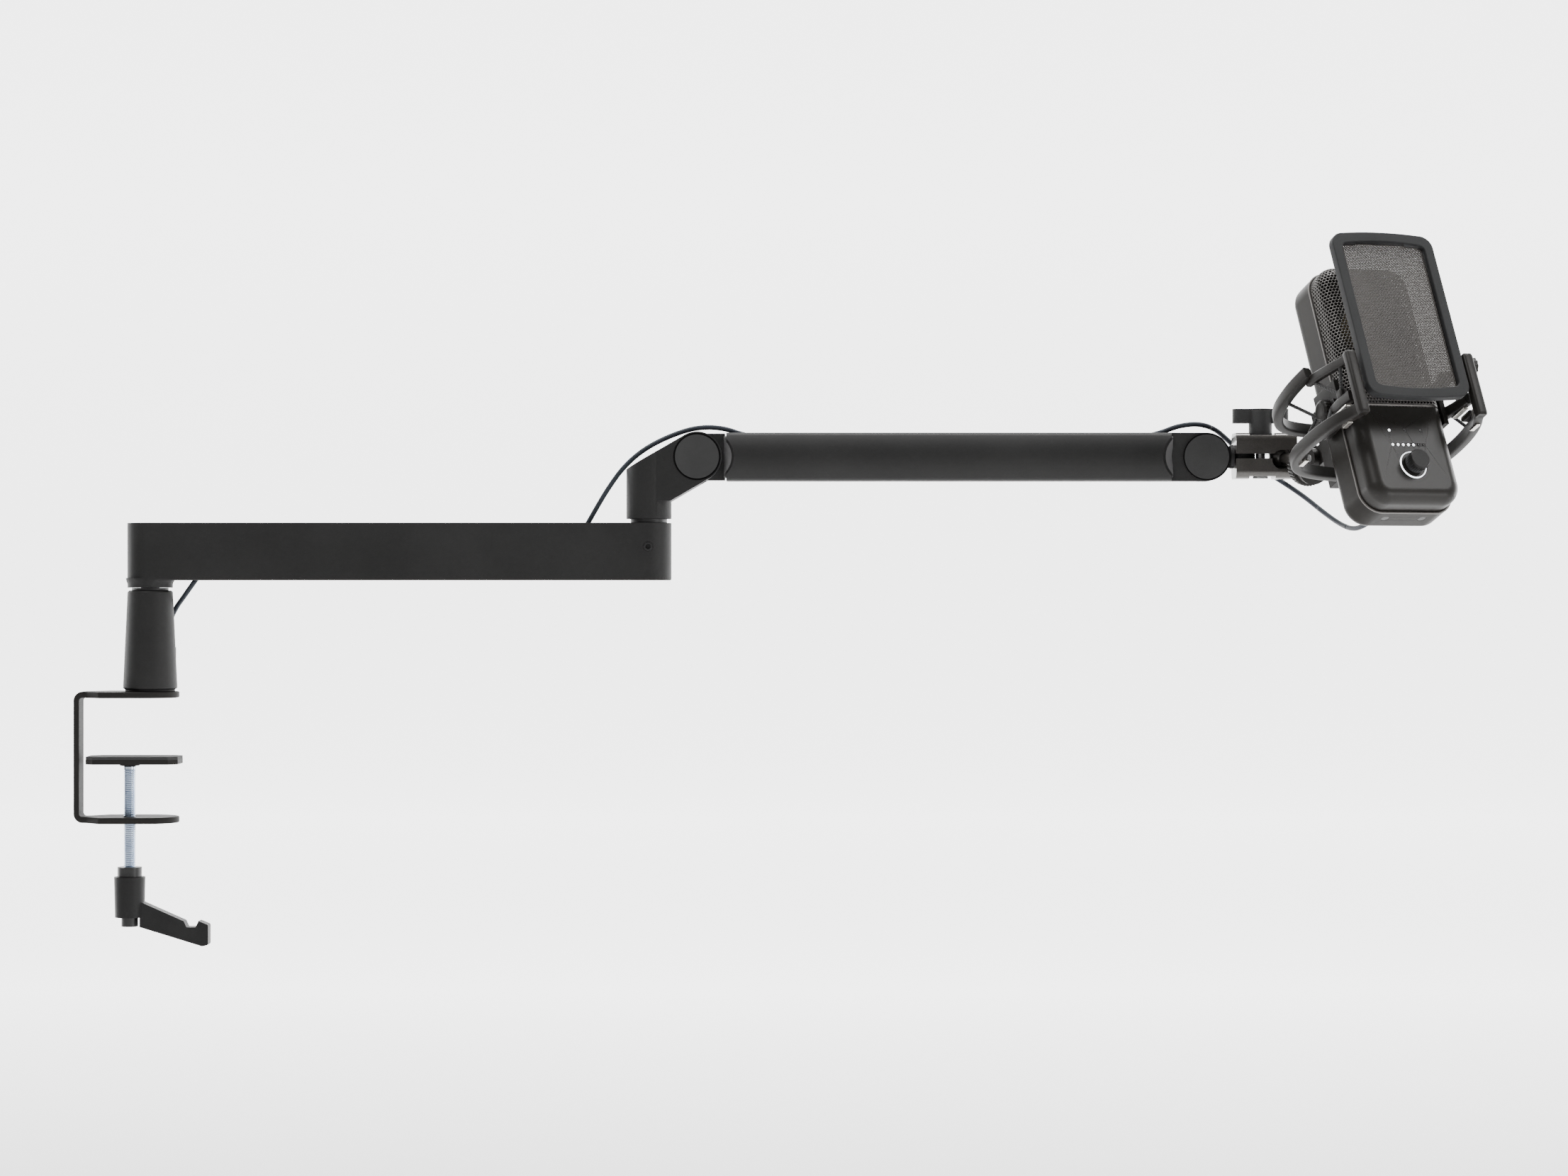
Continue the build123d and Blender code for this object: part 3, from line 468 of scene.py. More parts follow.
CABLE_R, HANK_X = 1.6, -5.5
ELBOW_CUT = 0.42                                       # share of the elbow arc that bends at the low joint
MIC_CUTS, PLUG_STRETCH = [48.0, 86.0, 120.0, 152.0], 36.0
ELBOW_ROUTE = [(284.5, 0, 111.5), (291, 0, 123), (299, 0, 136.5), (309, 0, 150.5), (322, 0, 162),
               (339, 0, 170.8), (357, 0, 176.6), (374, 0, 176.2), (388, 0, 171.2), (399, 0, 169.4)]
MIC_ROUTE = [(648, 0, 170), (659, 0, 172.4), (671, 0, 177.4), (685, 2, 179), (696, 8, 176),
             (704.5, 15.5, 170), (713, 21, 162.5), (725, 22.5, 152.5), (740, 16.5, 142.5), (753.5, 1, 131.5),
             (763, -19, 120.6), (770.5, -41, 112.2), (775.2, -62, 108.6), (780.08, -79.55, 111.04),
             (783.15, -87.14, 114.77)]
TAIL_ROUTE = [(29.5, 0, 76.5), (25.6, 0, 71.04), (20.8, 4.8, 65.4), (15.4, 11, 59.5), (11, 17, 53),
              (7.2, 21.4, 45)]


def free_cable(name, line, replaces=()):
    """One stretch of cable between two bodies; it rides on neither."""
    obj = piece(name, *tube(line, CABLE_R), None, "cable_jacket", smooth=0)
    if replaces:
        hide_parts(*replaces)
    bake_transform(obj)


elbow_line = smooth_line(ELBOW_ROUTE)
elbow_parts = cut_line(elbow_line, [ELBOW_CUT * length_of(elbow_line)])
free_cable("elbow_cable_low", elbow_parts[0], ("cable_elbow_arc",))
free_cable("elbow_cable_high", elbow_parts[1])

mic_line = smooth_line(MIC_ROUTE)
mic_parts = cut_line(mic_line, MIC_CUTS + [length_of(mic_line) - PLUG_STRETCH])
for i, line in enumerate(mic_parts):
    free_cable(f"mic_cable_{i + 1}", line,
               ("cable_mic_loop",) if i == 0 else ())


BEND_LOW, BEND_HIGH = 20.4, 52.6                       # z of the centres of the hank's bends
RUN_LOW, RUN_HIGH, FIRST_LOW = 28.0, 45.0, 30.0        # z of the control points on its straight runs
LAYERS = ((12.85, 22.3, 3.35), (9.45, 35.7, -3.35))    # radius, first y and y per turn
TURNS, BEND_POINTS, PACKING = 5, 5, 0.86


def hank_bend(centre_z, radius, start):
    """Control points of a half turn, outside the round so that the line keeps its radius."""
    reach = radius / math.cos(TAU / (4 * BEND_POINTS))
    angles = [start - TAU * (k + 0.5) / (2 * BEND_POINTS) for k in range(BEND_POINTS)]
    return [(HANK_X + reach * math.cos(a), centre_z + reach * math.sin(a)) for a in angles]


def hank_route():
    """Ten flat turns behind the riser: five outside from front to back, then five inside, back again."""
    points = []
    for layer, (radius, y_start, y_step) in enumerate(LAYERS):
        for turn in range(TURNS):
            run = (FIRST_LOW,) if (layer, turn) == (0, 0) else (RUN_HIGH, RUN_LOW)
            ring = [(HANK_X + radius, z) for z in run] + hank_bend(BEND_LOW, radius, 0.0)
            ring += [(HANK_X - radius, z) for z in (RUN_LOW, RUN_HIGH)]
            ring += hank_bend(BEND_HIGH, radius, TAU / 2)
            for j, (x, z) in enumerate(ring):
                points.append((x, y_start + y_step * (turn + j / len(ring)) * PACKING, z))
    return points


def hank_end(last_y):
    """From the inside of the last turn through the hank's eye, round and down into the far plug."""
    x0 = HANK_X
    return [(x0 + 9.4, last_y, 45.0), (x0 + 9.4, last_y, 35.0), (x0 + 9.3, last_y, 26.1),
            (x0 + 5.3, last_y + 0.7, 22.0), (x0 - 0.5, last_y + 2.0, 22.0), (x0 - 4.6, last_y + 3.2, 26.1),
            (x0 - 3.8, last_y + 4.0, 36.0), (x0 - 1.2, 26.3, 44.5), (x0, 26.3, 51.9), (x0, 30.4, 56.0),
            (x0, 36.2, 56.0), (x0, 40.3, 51.9), (x0, 40.1, 44.0), (x0, 40.1, 36.0)]


turns = hank_route()
tail_line = smooth_line(TAIL_ROUTE + turns + hank_end(turns[-1][1]), 6)


def tie_strap():
    """Hook-and-loop tie around the middle of the hank, with its tongue."""
    half, front, back, corner, steps = 14.8, 20.3, 38.0, 2.4, 5
    thick, trim, middle_y = 0.8, 0.35, 29.1
    heights = (21.0, 21.4, 32.6, 33.0)
    x0, x1, y0, y1 = HANK_X - half + corner, HANK_X + half - corner, front + corner, back - corner
    inside = []
    for i, (x, y) in enumerate(((x0, y0), (x1, y0), (x1, y1), (x0, y1))):
        for k in range(steps + 1):
            a = TAU * (0.5 + i / 4) + k * TAU / (4 * steps)
            inside.append((x + corner * math.cos(a), y + corner * math.sin(a)))
    verts, faces = [], []
    for grow in (0.0, thick):
        for z in heights:
            out = grow - (trim if grow and z in (heights[0], heights[-1]) else 0.0)
            for x, y in inside:
                d = Vector((x - HANK_X, y - middle_y)).normalized()
                verts.append((x + d.x * out, y + d.y * out, z))
    n = len(inside)
    rows = [4, 5, 6, 7, 3, 2, 1, 0]                    # up the outside, then down the inside
    for a, b in zip(rows, rows[1:] + rows[:1]):
        for i in range(n):
            k = (i + 1) % n
            faces.append((a * n + i, a * n + k, b * n + k, b * n + i))
    side = HANK_X + half
    tongue = box_part((side + 0.7, side + 1.7), (22.0, 33.0), (21.6, 32.4))
    return joined([(verts, faces), tongue])


strap = piece("hank_tie", *tie_strap(), "clamp", "elastic")
round_edges(strap, 0.3)
free_cable("cable_tail_and_hank", tail_line,
           ("cable_tail", "cable_hank"))


# ------------------------------------------------------------------ desk clamp

SCREW_X = -13.4


def threaded_rod(radius, root, pitch, low, high, segments=28):
    """Screw thread as one open helical skin, for a solid core to go inside."""
    profile = [(root, 0.0), (radius, 0.42), (radius, 0.56), (root, 0.98)]
    steps = int((high - low) / pitch * segments)
    verts, faces = [], []
    for i in range(steps + 1):
        a = TAU * i / segments
        z = low + pitch * i / segments
        for r, dz in profile:
            verts.append((r * math.cos(a), r * math.sin(a), z + dz * pitch))
    n = len(profile)
    for i in range(steps):
        for k in range(n - 1):
            faces.append((i * n + k, (i + 1) * n + k, (i + 1) * n + k + 1, i * n + k + 1))
        if i + 1 + segments <= steps:
            j = i + segments
            faces.append((i * n + n - 1, (i + 1) * n + n - 1, (j + 1) * n, j * n))
    return verts, faces


def clamp_screw():
    thread = threaded_rod(4.0, 3.38, 1.25, -121.0, -46.6)
    core = turned([(0.4, -123.0), (3.2, -122.8), (3.39, -122.0), (3.39, -45.0), (3.0, -44.6), (3.0, -40.9),
                   (0.4, -40.9)], 32)
    top = turned([(3.0, -47.4), (4.0, -46.6), (4.0, -45.1), (3.4, -44.5)], 32)
    piece("clamp_screw_threaded", *joined([thread, core, top]), "screw", "zinc_steel",
          WORLD @ Matrix.Translation((SCREW_X, 0, 0)), smooth=35, replaces=("clamp_screw",))


clamp_screw()


# ------------------------------------------------------------------ pivot caps

def pivot_cap(name, centre, side, radius, y_in, y_out, body):
    """Disc cap, with a black ring at its rim: painted shadow of the narrow clearance that the real cap leaves
    around its rim.
    """
    thick = y_out - y_in
    profile = [(radius, 0.0), (radius, thick - 0.1), (radius - 0.2, thick), (radius - 1.2, thick),
               (radius - 6.0, thick), (0.6, thick + 0.02)]
    matrix = along(Vector((centre[0], side * y_in, centre[1])), (0, side, 0))
    inner, outer, low, high = radius - 0.7, radius + 0.1, thick - 0.3, thick + 0.03
    # A thin black ring just inside the rim: painted shadow.
    gap_shadow = turned_ring([(inner, low), (outer, low), (outer, high), (inner, high)])
    piece(name + "_gap_shadow", *gap_shadow, body, "cap_coat", matrix, mat=GAP_SHADOW_BLACK, smooth=40)
    return piece(name, *turned(profile, 96), body, "cap_coat", matrix, smooth=40)


for place_name, centre, radius, y_in, y_out, body in (("elbow", ROOT, 15.0, 12.0, 13.9, "elbow"),
                                                      ("tip", TIP, 15.2, 7.6, 9.4, "upper_arm")):
    caps = [pivot_cap(f"{place_name}_cap_{label}", centre, side, radius, y_in, y_out, body)
            for label, side in (("front", -1), ("back", 1))]
    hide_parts(f"{place_name}_caps")


# ------------------------------------------------------------------ lock ring and thumb screws

def knurl(i):
    """Height of a knurled rim, as a share: two points down, two up."""
    return (0.0, 1.0, 1.0, 0.0)[i % 4]


RING_OUT = 33.5                                        # from the ball's centre to the ring, along the stud
lock_ring = turned_ring([(4.6, 0.0), (12.6, 0.0, 0.0), (13.1, 0.5, 0.5), (13.1, 5.8, 0.5), (12.6, 6.3, 0.0),
                         (4.6, 6.3)], 144, knurl)
piece("knurled_lock_ring", *lock_ring, "ring", "mount_plastic",
      along(STUD_BALL + STUD_DIR * RING_OUT, STUD_DIR), smooth=35, replaces=("lock_ring",))


def thumb_screw(name, node, side):
    shank = turned([(2.9, 0.0), (3.0, 0.2), (3.0, 6.6), (3.2, 6.7)], 28)
    head = turned([(6.4, 6.6, 0.0), (6.7, 7.0, 0.3), (6.7, 10.9, 0.3), (6.2, 11.6, 0.0), (5.0, 12.0),
                   (4.4, 11.6), (0.5, 11.5)], 72, knurl)
    matrix = along(micpt(side * 31.4, 0, -11.0), W_DIR * side)
    piece(name, *joined([shank, head]), node, "mount_plastic", matrix, smooth=40,
          replaces=("thumb_screw_left" if side < 0 else "thumb_screw_right",))


thumb_screw("thumb_screw_left_knurled", "thumb_left", -1)
thumb_screw("thumb_screw_right_knurled", "thumb_right", 1)


# ------------------------------------------------------------------ shock mount

CORNER_POINTS = 4
SECTION_POINTS = 4 * CORNER_POINTS
LOWER_BAND_U, BAND_SIZE, ARM_SIZE = -30.0, (6.0, 8.0), (4.6, 6.0)


def rounded_section(width, height, corner):
    """Corner-rounded rectangle, (across, up) points."""
    points = []
    for cx, cy, start in ((1, 1, 0.0), (-1, 1, 0.25), (-1, -1, 0.5), (1, -1, 0.75)):
        for k in range(CORNER_POINTS):
            a = TAU * (start + k / (4 * (CORNER_POINTS - 1)))
            points.append((cx * (width / 2 - corner) + corner * math.cos(a),
                           cy * (height / 2 - corner) + corner * math.sin(a)))
    return points


def bar(points, width, height, corner=1.3):
    """Moulded bar along (w, n, u) control points; its height stays upright."""
    line = smooth_line([(w, -n, u) for w, n, u in points], 5)
    verts, faces = [], []
    for i, p in enumerate(line):
        ahead = (line[min(i + 1, len(line) - 1)] - line[max(i - 1, 0)]).normalized()
        side = ahead.cross(Vector((0, 0, 1))).normalized()
        up = side.cross(ahead)
        for x, y in rounded_section(width, height, corner):
            verts.append(p + side * x + up * y)
    n = SECTION_POINTS
    for i in range(len(line) - 1):
        for k in range(n):
            m = (k + 1) % n
            faces.append((i * n + k, (i + 1) * n + k, (i + 1) * n + m, i * n + m))
    faces.append(tuple(range(n)))
    last = (len(line) - 1) * n
    faces.append(tuple(reversed(range(last, last + n))))
    return verts, faces


def upright(w, n, u, width, depth, corner=2.0):
    """Vertical bar at (w, n) between two heights, its ends rounded off."""
    verts, faces = [], []
    rounding = ((0.0, 0.45), (0.6, 0.78), (2.0, 1.0))      # distance from the end, and size there
    rows = [(u[0] + z, s) for z, s in rounding] + [(u[1] - z, s) for z, s in reversed(rounding)]
    count = SECTION_POINTS
    for z, s in rows:
        for x, y in rounded_section(width * (0.6 + 0.4 * s), depth * (0.6 + 0.4 * s), corner * s):
            verts.append((w + x, -n + y, z))
    for j in range(len(rows) - 1):
        for k in range(count):
            m = (k + 1) % count
            faces.append((j * count + k, j * count + m, (j + 1) * count + m, (j + 1) * count + k))
    faces.append(tuple(reversed(range(count))))
    last = (len(rows) - 1) * count
    faces.append(tuple(range(last, last + count)))
    return verts, faces


def chunk(w, n, u):
    """Block between three (low, high) pairs in w, n, u."""
    return box_part(sorted(w), (-max(n), -min(n)), sorted(u))


def mount_frame():
    """Two bands round the microphone, arms and uprights, the block and lug at the back, and a nut."""
    parts = []
    low = [(w, n, LOWER_BAND_U) for w, n in ((0, -49), (24, -47.5), (45, -39), (53, -23), (53.6, -5),
                                             (52, 12), (48, 27), (42.4, 38), (41.6, 42))]
    high = [(0, -56.5, 4), (22, -55.5, 4), (44, -48, 4), (52.6, -31, 5.5), (53, -14, 8.5), (51, -2, 11),
            (49.2, 6, 12.2)]
    arm = [(47.2, 1, 8.2), (46.4, 12, 7.2), (45.2, 24, 5.6), (43, 34, 4.6), (41.6, 41, 4.4)]
    for side in (-1, 1):
        for points, size in ((low, BAND_SIZE), (high, BAND_SIZE), (arm, ARM_SIZE)):
            parts.append(bar([(side * w, n, u) for w, n, u in points], *size))
        parts.append(upright(side * 41.6, 42.0, (-34.0, 8.0), 7.4, 6.2))
        parts.append(upright(side * 44.3, 26.0, (-27.5, -24.0), 5.0, 12.0, 1.0))
    parts.append(chunk((-9, 9), (-60, -47), (-34, 8)))
    parts.append(chunk((-4.9, 4.9), (-74, -58), (-12.2, 0.2)))
    lug_verts, lug_faces = turned([(6.0, 0.0), (6.2, 0.3), (6.2, 9.5), (6.0, 9.8)], 40)
    parts.append(([(-4.9 + z, 74.0 + x, -6.0 + y) for x, y, z in lug_verts], lug_faces))
    obj = piece("shock_mount_frame", *joined(parts), "shock_frame", "mount_plastic", MIC, smooth=45,
                replaces=("mount_frame",))
    round_edges(obj, 0.6, 60)
    toothed = turned([(4.2, 0.0), (5.6, 0.4, 0.0), (5.6, 4.4, 0.6), (5.0, 5.0, 0.0), (0.5, 5.0)], 48, knurl)
    piece("mount_nut", *toothed, "shock_frame", "mount_plastic", along(micpt(45.0, 36, 3.0), W_DIR),
          smooth=40)


def cradle_arms():
    """Arms of the inner ring that reach forward to the elastic, each with a pale wear plate."""
    dark, pale = [], []
    for side in (-1, 1):
        dark.append(bar([(side * 38.6, 7, -16), (side * 40.4, 14, -16.6), (side * 42, 24, -17.4),
                         (side * 41.4, 35, -18)], 6.0, 7.0, 1.6))
        dark.append(upright(side * 42.3, 25.0, (-15.5, -9.5), 4.2, 6.0, 1.2))
        pale.append(chunk((side * 39.6, side * 43.8), (15, 29), (-22.2, -20.9)))
    piece("cradle_arms", *joined(dark), "microphone", "mount_plastic", MIC, smooth=45)
    strips = piece("cradle_wear_plates", *joined(pale), "microphone", "clip_metal", MIC, smooth=30)
    round_edges(strips, 0.3)


mount_frame()
cradle_arms()


# ------------------------------------------------------------------ elastic cords of the shock mount

CORD_STEPS, CORD_R, RIB_R, RIB_OUT, RIB_TURN = 24, 1.0, 0.62, 0.55, 0.9


def elastic(a, b):
    """Braided elastic cord: a round strand with three spiral ribs."""
    line = [a.lerp(b, t / CORD_STEPS) for t in range(CORD_STEPS + 1)]
    strands = [tube(line, CORD_R, 10)]
    side = (b - a).orthogonal().normalized()
    up = (b - a).normalized().cross(side)
    for start in (0, TAU / 3, 2 * TAU / 3):
        angles = [start + i * RIB_TURN for i in range(len(line))]
        wound = [p + (side * math.cos(t) + up * math.sin(t)) * RIB_OUT for p, t in zip(line, angles)]
        strands.append(tube(wound, RIB_R, 8))
    return joined(strands)


cords = []
for side in (-1, 1):
    for near, far in (((42.4, 24.5, -12.5), (47.2, 4.0, 8.0)), ((42.4, 25.5, -12.5), (43.8, 33.0, 3.0)),
                      ((40.2, -9.0, -10.5), (51.4, -20.0, 4.6)), ((40.2, -9.0, -10.5), (51.6, -14.0, -27.5)),
                      ((40.2, 9.0, -13.0), (50.2, 14.0, -27.5))):
        cords.append(elastic(micpt(side * near[0], *near[1:]), micpt(side * far[0], *far[1:])))
piece("elastic_suspension", *joined(cords), "shock_frame", "elastic", smooth=60, replaces=("elastic_cords",))


# ------------------------------------------------------------------ grille

EDGE_R, CORE_W, CORE_TOP, CORNER = 8.5, 23.5, 74.1, 4.5
FLAT_N = 20.0
RIM_CENTRE_N = FLAT_N - EDGE_R
SIDE_START = EDGE_R * math.pi / 2
SKIRT = SIDE_START + 7.5
SHEET_LOW = PANEL_TOP + 0.15
GRILLE_PITCH, HOLE_R, HOLE_POINTS, GRILLE_MIDDLE = 2.3, 0.93, 12, 32.0
ROW_STEP = 1.5                                         # rows are this many cell corners apart
LEAVE_OUT, LEAVE_SOLID = 0.55, -1.3                    # cells beyond these, by how far outside they are


def past_core(a, b):
    """How far a plane point is past the flat core, across and up."""
    return max(abs(a) - (CORE_W - CORNER), 0.0), max(b - (CORE_TOP - CORNER), 0.0)


def pillow(a, b):
    """Wraps the plane point (a, b) over the front's flat, its rounded rim and its side."""
    px, py = past_core(a, b)
    far = math.hypot(px, py)
    d = far - CORNER
    if d <= 0:
        return Vector((a, -FLAT_N, b))
    dx, dy = px / far, py / far
    base_w = min(abs(a), CORE_W - CORNER) + dx * CORNER
    base_u = min(b, CORE_TOP - CORNER) + dy * CORNER
    d = min(d, SKIRT)
    if d < SIDE_START:
        turn = d / EDGE_R
        out, n = EDGE_R * math.sin(turn), RIM_CENTRE_N + EDGE_R * math.cos(turn)
    else:
        out, n = EDGE_R, RIM_CENTRE_N - (d - SIDE_START)
    w = (base_w + dx * out) * (1 if a >= 0 else -1)
    return Vector((w, -n, base_u + dy * out))


def beyond(a, b):
    """How far outside the perforated sheet a plane point is."""
    return max(math.hypot(*past_core(a, b)) - CORNER - SKIRT, SHEET_LOW - b)


def into_sheet(a, b):
    """The plane point, moved onto the sheet's border if it is outside."""
    px, py = past_core(a, b)
    far = math.hypot(px, py)
    if far - CORNER > SKIRT:
        keep = (SKIRT + CORNER) / far
        a = math.copysign(min(abs(a), CORE_W - CORNER) + px * keep, a)
        b = min(b, CORE_TOP - CORNER) + py * keep
    return a, max(b, SHEET_LOW)


def grille():
    """Perforated steel: hexagons shared between neighbours, each with a round hole."""
    corner = GRILLE_PITCH / math.sqrt(3)
    shared, verts, faces = {}, [], []

    def outer(a, b):
        key = (round(a, 2), round(b, 2))
        if key not in shared:
            shared[key] = len(verts)
            verts.append(pillow(*into_sheet(a, b)))
        return shared[key]

    rows, cols = int(130 / (corner * ROW_STEP)), 30    # enough to reach past the sheet on every side
    for row in range(-rows, rows):
        b0 = GRILLE_MIDDLE + row * corner * ROW_STEP
        for col in range(-cols, cols + 1):
            a0 = (col + (0.5 if row % 2 else 0.0)) * GRILLE_PITCH
            out = beyond(a0, b0)
            if out > LEAVE_OUT:
                continue
            angles = [TAU * (k + 0.5) / 6 for k in range(6)]
            hexagon = [outer(a0 + corner * math.cos(t), b0 + corner * math.sin(t)) for t in angles]
            if len(set(hexagon)) < 6:
                continue
            if out > LEAVE_SOLID:
                faces.append(tuple(hexagon))
                continue
            start = len(verts)
            for k in range(HOLE_POINTS):
                angle = TAU * (k + 1) / HOLE_POINTS
                verts.append(pillow(a0 + HOLE_R * math.cos(angle), b0 + HOLE_R * math.sin(angle)))
            for k in range(6):
                middle = start + (2 * k + 1) % HOLE_POINTS
                after = start + (2 * k + 2) % HOLE_POINTS
                faces.append((hexagon[k], hexagon[(k + 1) % 6], after, middle, start + 2 * k))
    obj = piece("grille_perforated", verts, faces, "microphone", "grille_steel", MIC, smooth=0,
                replaces=("grille",))
    thicken(obj, 0.6, -1.0)


grille()


# ------------------------------------------------------------------ pop screen

POP_LOW, POP_HIGH, POP_N, POP_HALF, POP_CROWN = -17.5, 84.5, 43.0, 29.5, 2.2
POP_MIDDLE, POP_MARGIN = (POP_LOW + POP_HIGH) / 2, 0.4


def pop_mesh():
    """Woven screen: square openings between wires that pass over and under each other."""
    pitch, wire, wave = 1.1, 0.83, 0.12
    verts, faces, shared = [], [], {}

    def edge_u(w, sign):
        crown = POP_CROWN * (1 - (w / POP_HALF) ** 2)
        return (POP_HIGH - POP_CROWN + crown) if sign > 0 else (POP_LOW + POP_CROWN - crown)

    def inside(w, u):
        return (abs(w) < POP_HALF + POP_MARGIN
                and edge_u(w, -1) - POP_MARGIN < u < edge_u(w, 1) + POP_MARGIN)

    def at(i, j, k, m):
        key = (i, j, k, m)
        if key not in shared:
            w, u = i * pitch + k * wire / 2, POP_MIDDLE + j * pitch + m * wire / 2
            lift = wave * (1 if (i + j) % 2 else -1)
            shared[key] = len(verts)
            verts.append((w, -(POP_N + lift * (1 if k * m >= 0 else -1)), u))
        return shared[key]

    across, up = 27, 47                                # wires each way from the middle
    for i in range(-across, across + 1):
        for j in range(-up, up + 1):
            corners = [((i + di) * pitch, POP_MIDDLE + (j + dj) * pitch) for di in (0, 1) for dj in (0, 1)]
            if not all(inside(w, u) for w, u in corners):
                continue
            faces.append((at(i, j, -1, -1), at(i, j, 1, -1), at(i, j, 1, 1), at(i, j, -1, 1)))
            faces.append((at(i, j, 1, -1), at(i + 1, j, -1, -1), at(i + 1, j, -1, 1), at(i, j, 1, 1)))
            faces.append((at(i, j, -1, 1), at(i, j, 1, 1), at(i, j + 1, 1, -1), at(i, j + 1, -1, -1)))
    obj = piece("pop_screen", verts, faces, "pop_shield", "pop_mesh", MIC, smooth=0, replaces=("pop_mesh",))
    thicken(obj, 0.2, 0.0)


pop_mesh()


# ------------------------------------------------------------------ lights, knob, rim line

def lens(w, u):
    """Small domed lens over a light at (w, u)."""
    return shifted(turned([(0.9, 0.0), (0.9, 1.9), (0.6, 2.15), (0.1, 2.25)], 20), w, u, 0)


FRONT = place(micpt(0, 18.1, 0), W_DIR, U_DIR, N_DIR)  # own axes are w, u, n
LEVEL_SPAN, LEVEL_COUNT, LEVELS_LIT = 22.0, 7, 5
LEVELS = [(-LEVEL_SPAN / 2 + i * LEVEL_SPAN / (LEVEL_COUNT - 1), -43.3) for i in range(LEVEL_COUNT)]
MODES = [(w, -33.5) for w in (-11.1, 0.0, 11.1)]
HALO_UP, DIAL_UP = 1.2, 2.9                            # above FRONT's origin

lit = LEVELS[:LEVELS_LIT] + MODES[:1]
dark = LEVELS[LEVELS_LIT:] + MODES[1:]
piece("lights_lit", *joined([lens(*p) for p in lit]), "microphone", "light", FRONT,
      replaces=("indicator_lights",))
piece("lights_dark", *joined([lens(*p) for p in dark]), "microphone", "light", FRONT, mat=DIM_LENS)
halo = turned_ring([(8.3, 0.0), (8.95, 0.0), (8.95, 0.8), (8.8, 1.0), (8.45, 1.0), (8.3, 0.8)])
tilt = (-0.75 * W_DIR - 0.66 * U_DIR).normalized()     # the way the halo's light falls off
middle = (micpt(0, 19.5, KNOB_U) * MM).dot(tilt)
piece("dial_halo", *shifted(halo, 0, KNOB_U, HALO_UP), "microphone", "light", FRONT,
      mat=glow("halo_light", (0.92, 0.95, 1.0), 3.0, tilt, (middle - 0.009, middle + 0.006), (0.2, 3.2)))
dial = turned([(5.9, 0.0), (6.45, 0.3, 0.0), (6.5, 1.2, 0.2), (6.5, 6.6, 0.2), (6.45, 7.4, 0.0), (6.0, 8.0),
               (0.4, 8.0)], 120, knurl)
piece("gain_dial_cap", *shifted(dial, 0, KNOB_U, DIAL_UP), "gain_dial", "knob_plastic", FRONT, smooth=40,
      replaces=("gain_knob",))


def rim_line():
    """The shell's bright front edge: a thin band around the rounded rectangle."""
    half, low, high, corner, steps = 33.0, -82.0, 84.0, 14.0, 12
    outline = []
    for cw, cu, start in ((half - corner, high - corner, 0.0), (-half + corner, high - corner, 0.25),
                          (-half + corner, low + corner, 0.5), (half - corner, low + corner, 0.75)):
        for k in range(steps + 1):
            a = TAU * (start + k / (4 * steps))
            outline.append((cw, cu, math.cos(a), math.sin(a)))
    verts, faces = [], []
    section = [(14.0, 3.1), (14.12, 3.25), (14.12, 3.95), (13.9, 4.12), (13.1, 4.12), (13.0, 4.0)]
    for r, n in section:
        for cw, cu, c, s in outline:
            verts.append((cw + r * c, -n, cu + r * s))
    count = len(outline)
    for j in range(len(section)):
        for i in range(count):
            k, m = (i + 1) % count, (j + 1) % len(section)
            faces.append((j * count + i, j * count + k, m * count + k, m * count + i))
    piece("shell_rim_line", verts, faces, "microphone", "shell_coat", MIC, mat=RIM_LIGHT, smooth=60)


rim_line()


# ------------------------------------------------------------------ floor, light and camera

FLOOR_Z, FLOOR_FRONT, BACK_Y, BACK_TOP, BEND = -420.0, -9000.0, 5000.0, 5200.0, 1500.0
FLOOR_X, BEND_STEPS = (-9000.0, 10000.0), 16
GLOW_Y, GLOW_LEVELS = (0.6, 1.9), (0.4, 3.0)


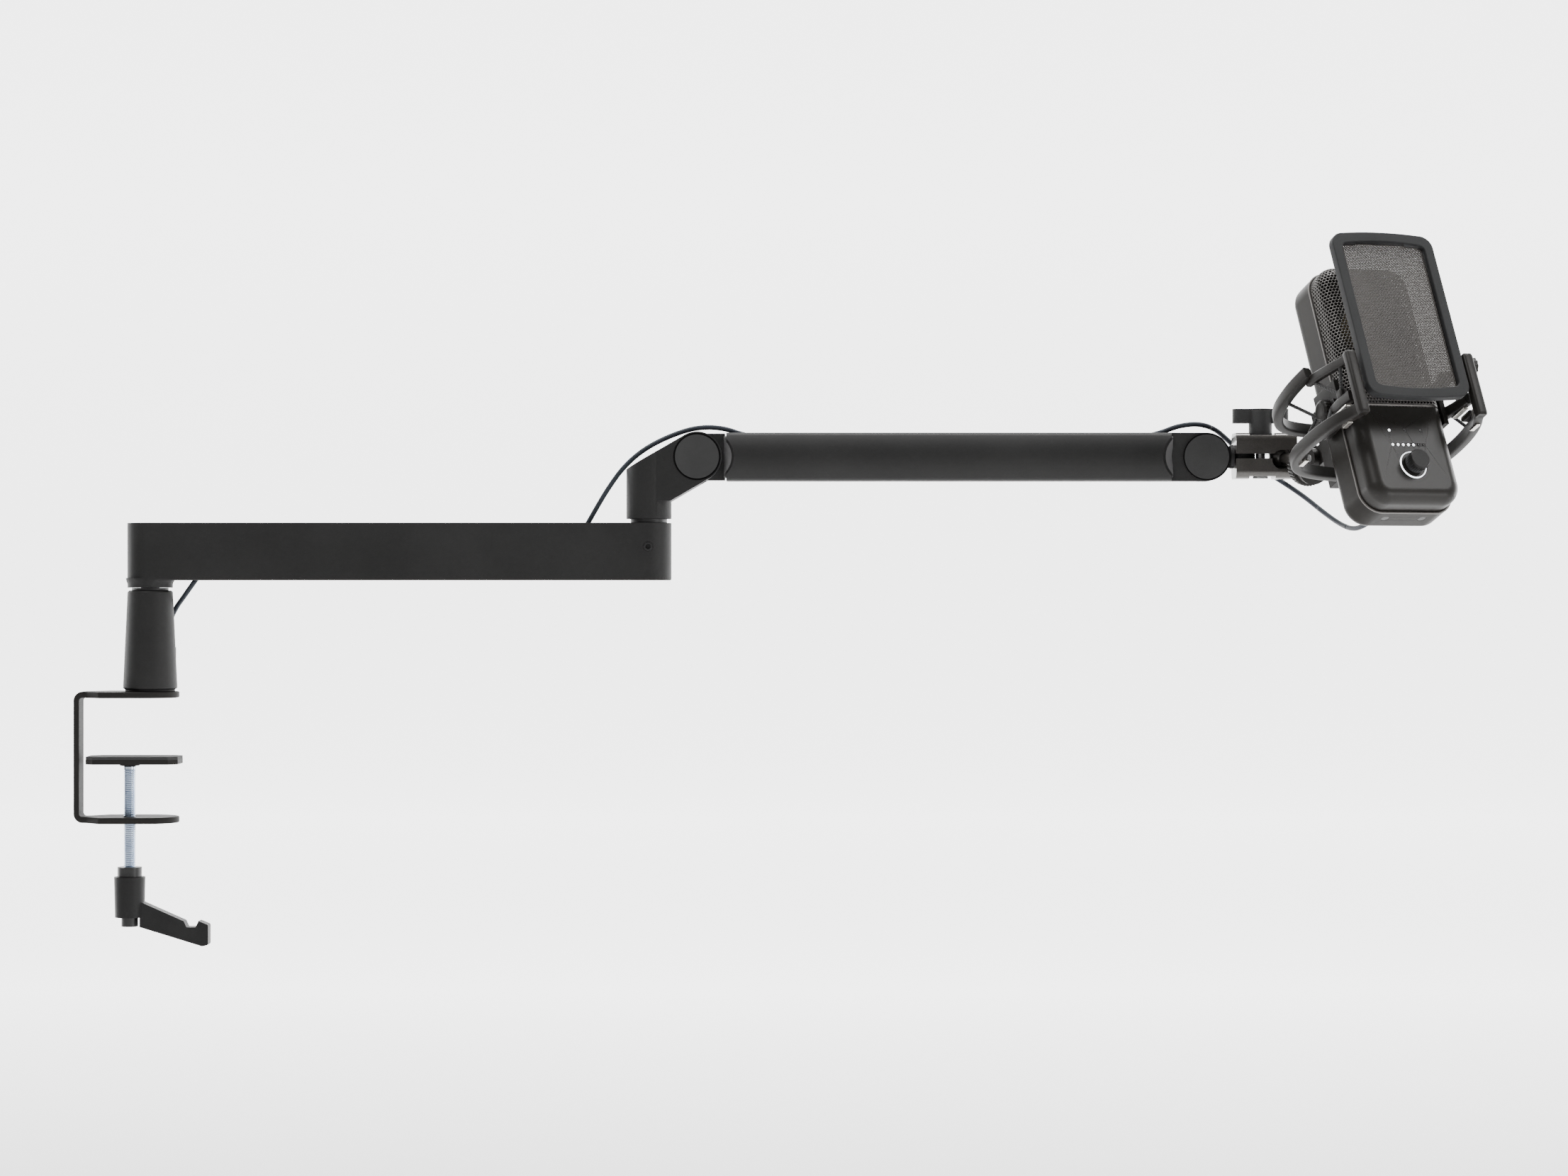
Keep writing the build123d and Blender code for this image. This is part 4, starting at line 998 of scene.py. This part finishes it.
def stage():
    """Pale floor that curves up into a backdrop, and glows more behind the object."""
    line = [(FLOOR_FRONT, FLOOR_Z), (BACK_Y, FLOOR_Z)]
    for k in range(1, BEND_STEPS + 1):
        a = TAU / 4 * k / BEND_STEPS
        line.append((BACK_Y + BEND * math.sin(a), FLOOR_Z + BEND * (1 - math.cos(a))))
    line.append((BACK_Y + BEND, BACK_TOP))
    verts = [(x, y, z) for y, z in line for x in FLOOR_X]
    faces = [(2 * i, 2 * i + 1, 2 * i + 3, 2 * i + 2) for i in range(len(line) - 1)]
    mesh = bpy.data.meshes.new("floor")
    mesh.from_pydata([tuple(c * MM for c in v) for v in verts], [], faces)
    floor = bpy.data.objects.new("floor", mesh)
    bpy.context.scene.collection.objects.link(floor)
    for poly in mesh.polygons:
        poly.use_smooth = True
    paper = material("floor_paper", grey(0.86), grey(0.88), (0.9, 1.0), bump=0.02, specular=0.1)
    tree = paper.node_tree
    bsdf = tree.nodes["Principled BSDF"]
    bsdf.inputs["Emission Color"].default_value = (1, 1, 1, 1)
    split = tree.nodes.new("ShaderNodeSeparateXYZ")
    tree.links.new(tree.nodes.new("ShaderNodeTexCoord").outputs["Object"], split.inputs[0])
    strength = map_range(tree, split.outputs["Y"], *GLOW_Y, *GLOW_LEVELS)
    tree.links.new(strength, bsdf.inputs["Emission Strength"])
    mesh.materials.append(paper)


def area_light(name, at, target, size, energy):
    """Rectangular light at a place, turned to a target; metres and watts."""
    data = bpy.data.lights.new(name, "AREA")
    data.shape = "RECTANGLE"
    data.size, data.size_y = size
    data.energy = energy
    obj = bpy.data.objects.new(name, data)
    obj.location = Vector(at)
    obj.rotation_euler = (Vector(target) - Vector(at)).to_track_quat("-Z", "Y").to_euler()
    bpy.context.scene.collection.objects.link(obj)


stage()
area_light("key", (-0.5, -1.3, 2.2), (0.42, 0, 0.1), (1.2, 0.8), 46)
area_light("mic_fill", (1.75, -0.75, 1.15), (0.8, -0.1, 0.2), (0.6, 0.5), 15)
area_light("low_fill", (1.66, -1.0, -0.05), (0.74, -0.05, 0.15), (0.5, 0.35), 6)
area_light("top", (0.45, 0.25, 1.7), (0.45, 0, 0.1), (2.4, 0.5), 80)
area_light("left_rim", (-1.5, 0.75, 0.4), (0.3, 0, 0.1), (1.0, 1.4), 16)
area_light("right_rim", (2.3, 0.75, 0.4), (0.7, 0, 0.1), (1.0, 1.4), 22)
world = bpy.data.worlds.new("studio")
world.use_nodes = True
sky = world.node_tree.nodes["Background"]
sky.inputs["Color"].default_value = (1, 1, 1, 1)
sky.inputs["Strength"].default_value = 0.35
bpy.context.scene.world = world

SENSOR, CAMERA_BACK = 36.0, 2.2
VIEW_WIDTH = 1.024074                                  # metres across the picture, in the object's plane
lens_data = bpy.data.cameras.new("camera")
lens_data.sensor_width = SENSOR
lens_data.sensor_fit = "HORIZONTAL"
lens_data.lens = SENSOR * CAMERA_BACK / VIEW_WIDTH
lens_data.clip_end = 50.0
camera = bpy.data.objects.new("camera", lens_data)
camera.location = (0.4139, -CAMERA_BACK, 0.0715)
camera.rotation_euler = (math.pi / 2, 0, 0)
bpy.context.scene.collection.objects.link(camera)
bpy.context.scene.camera = camera
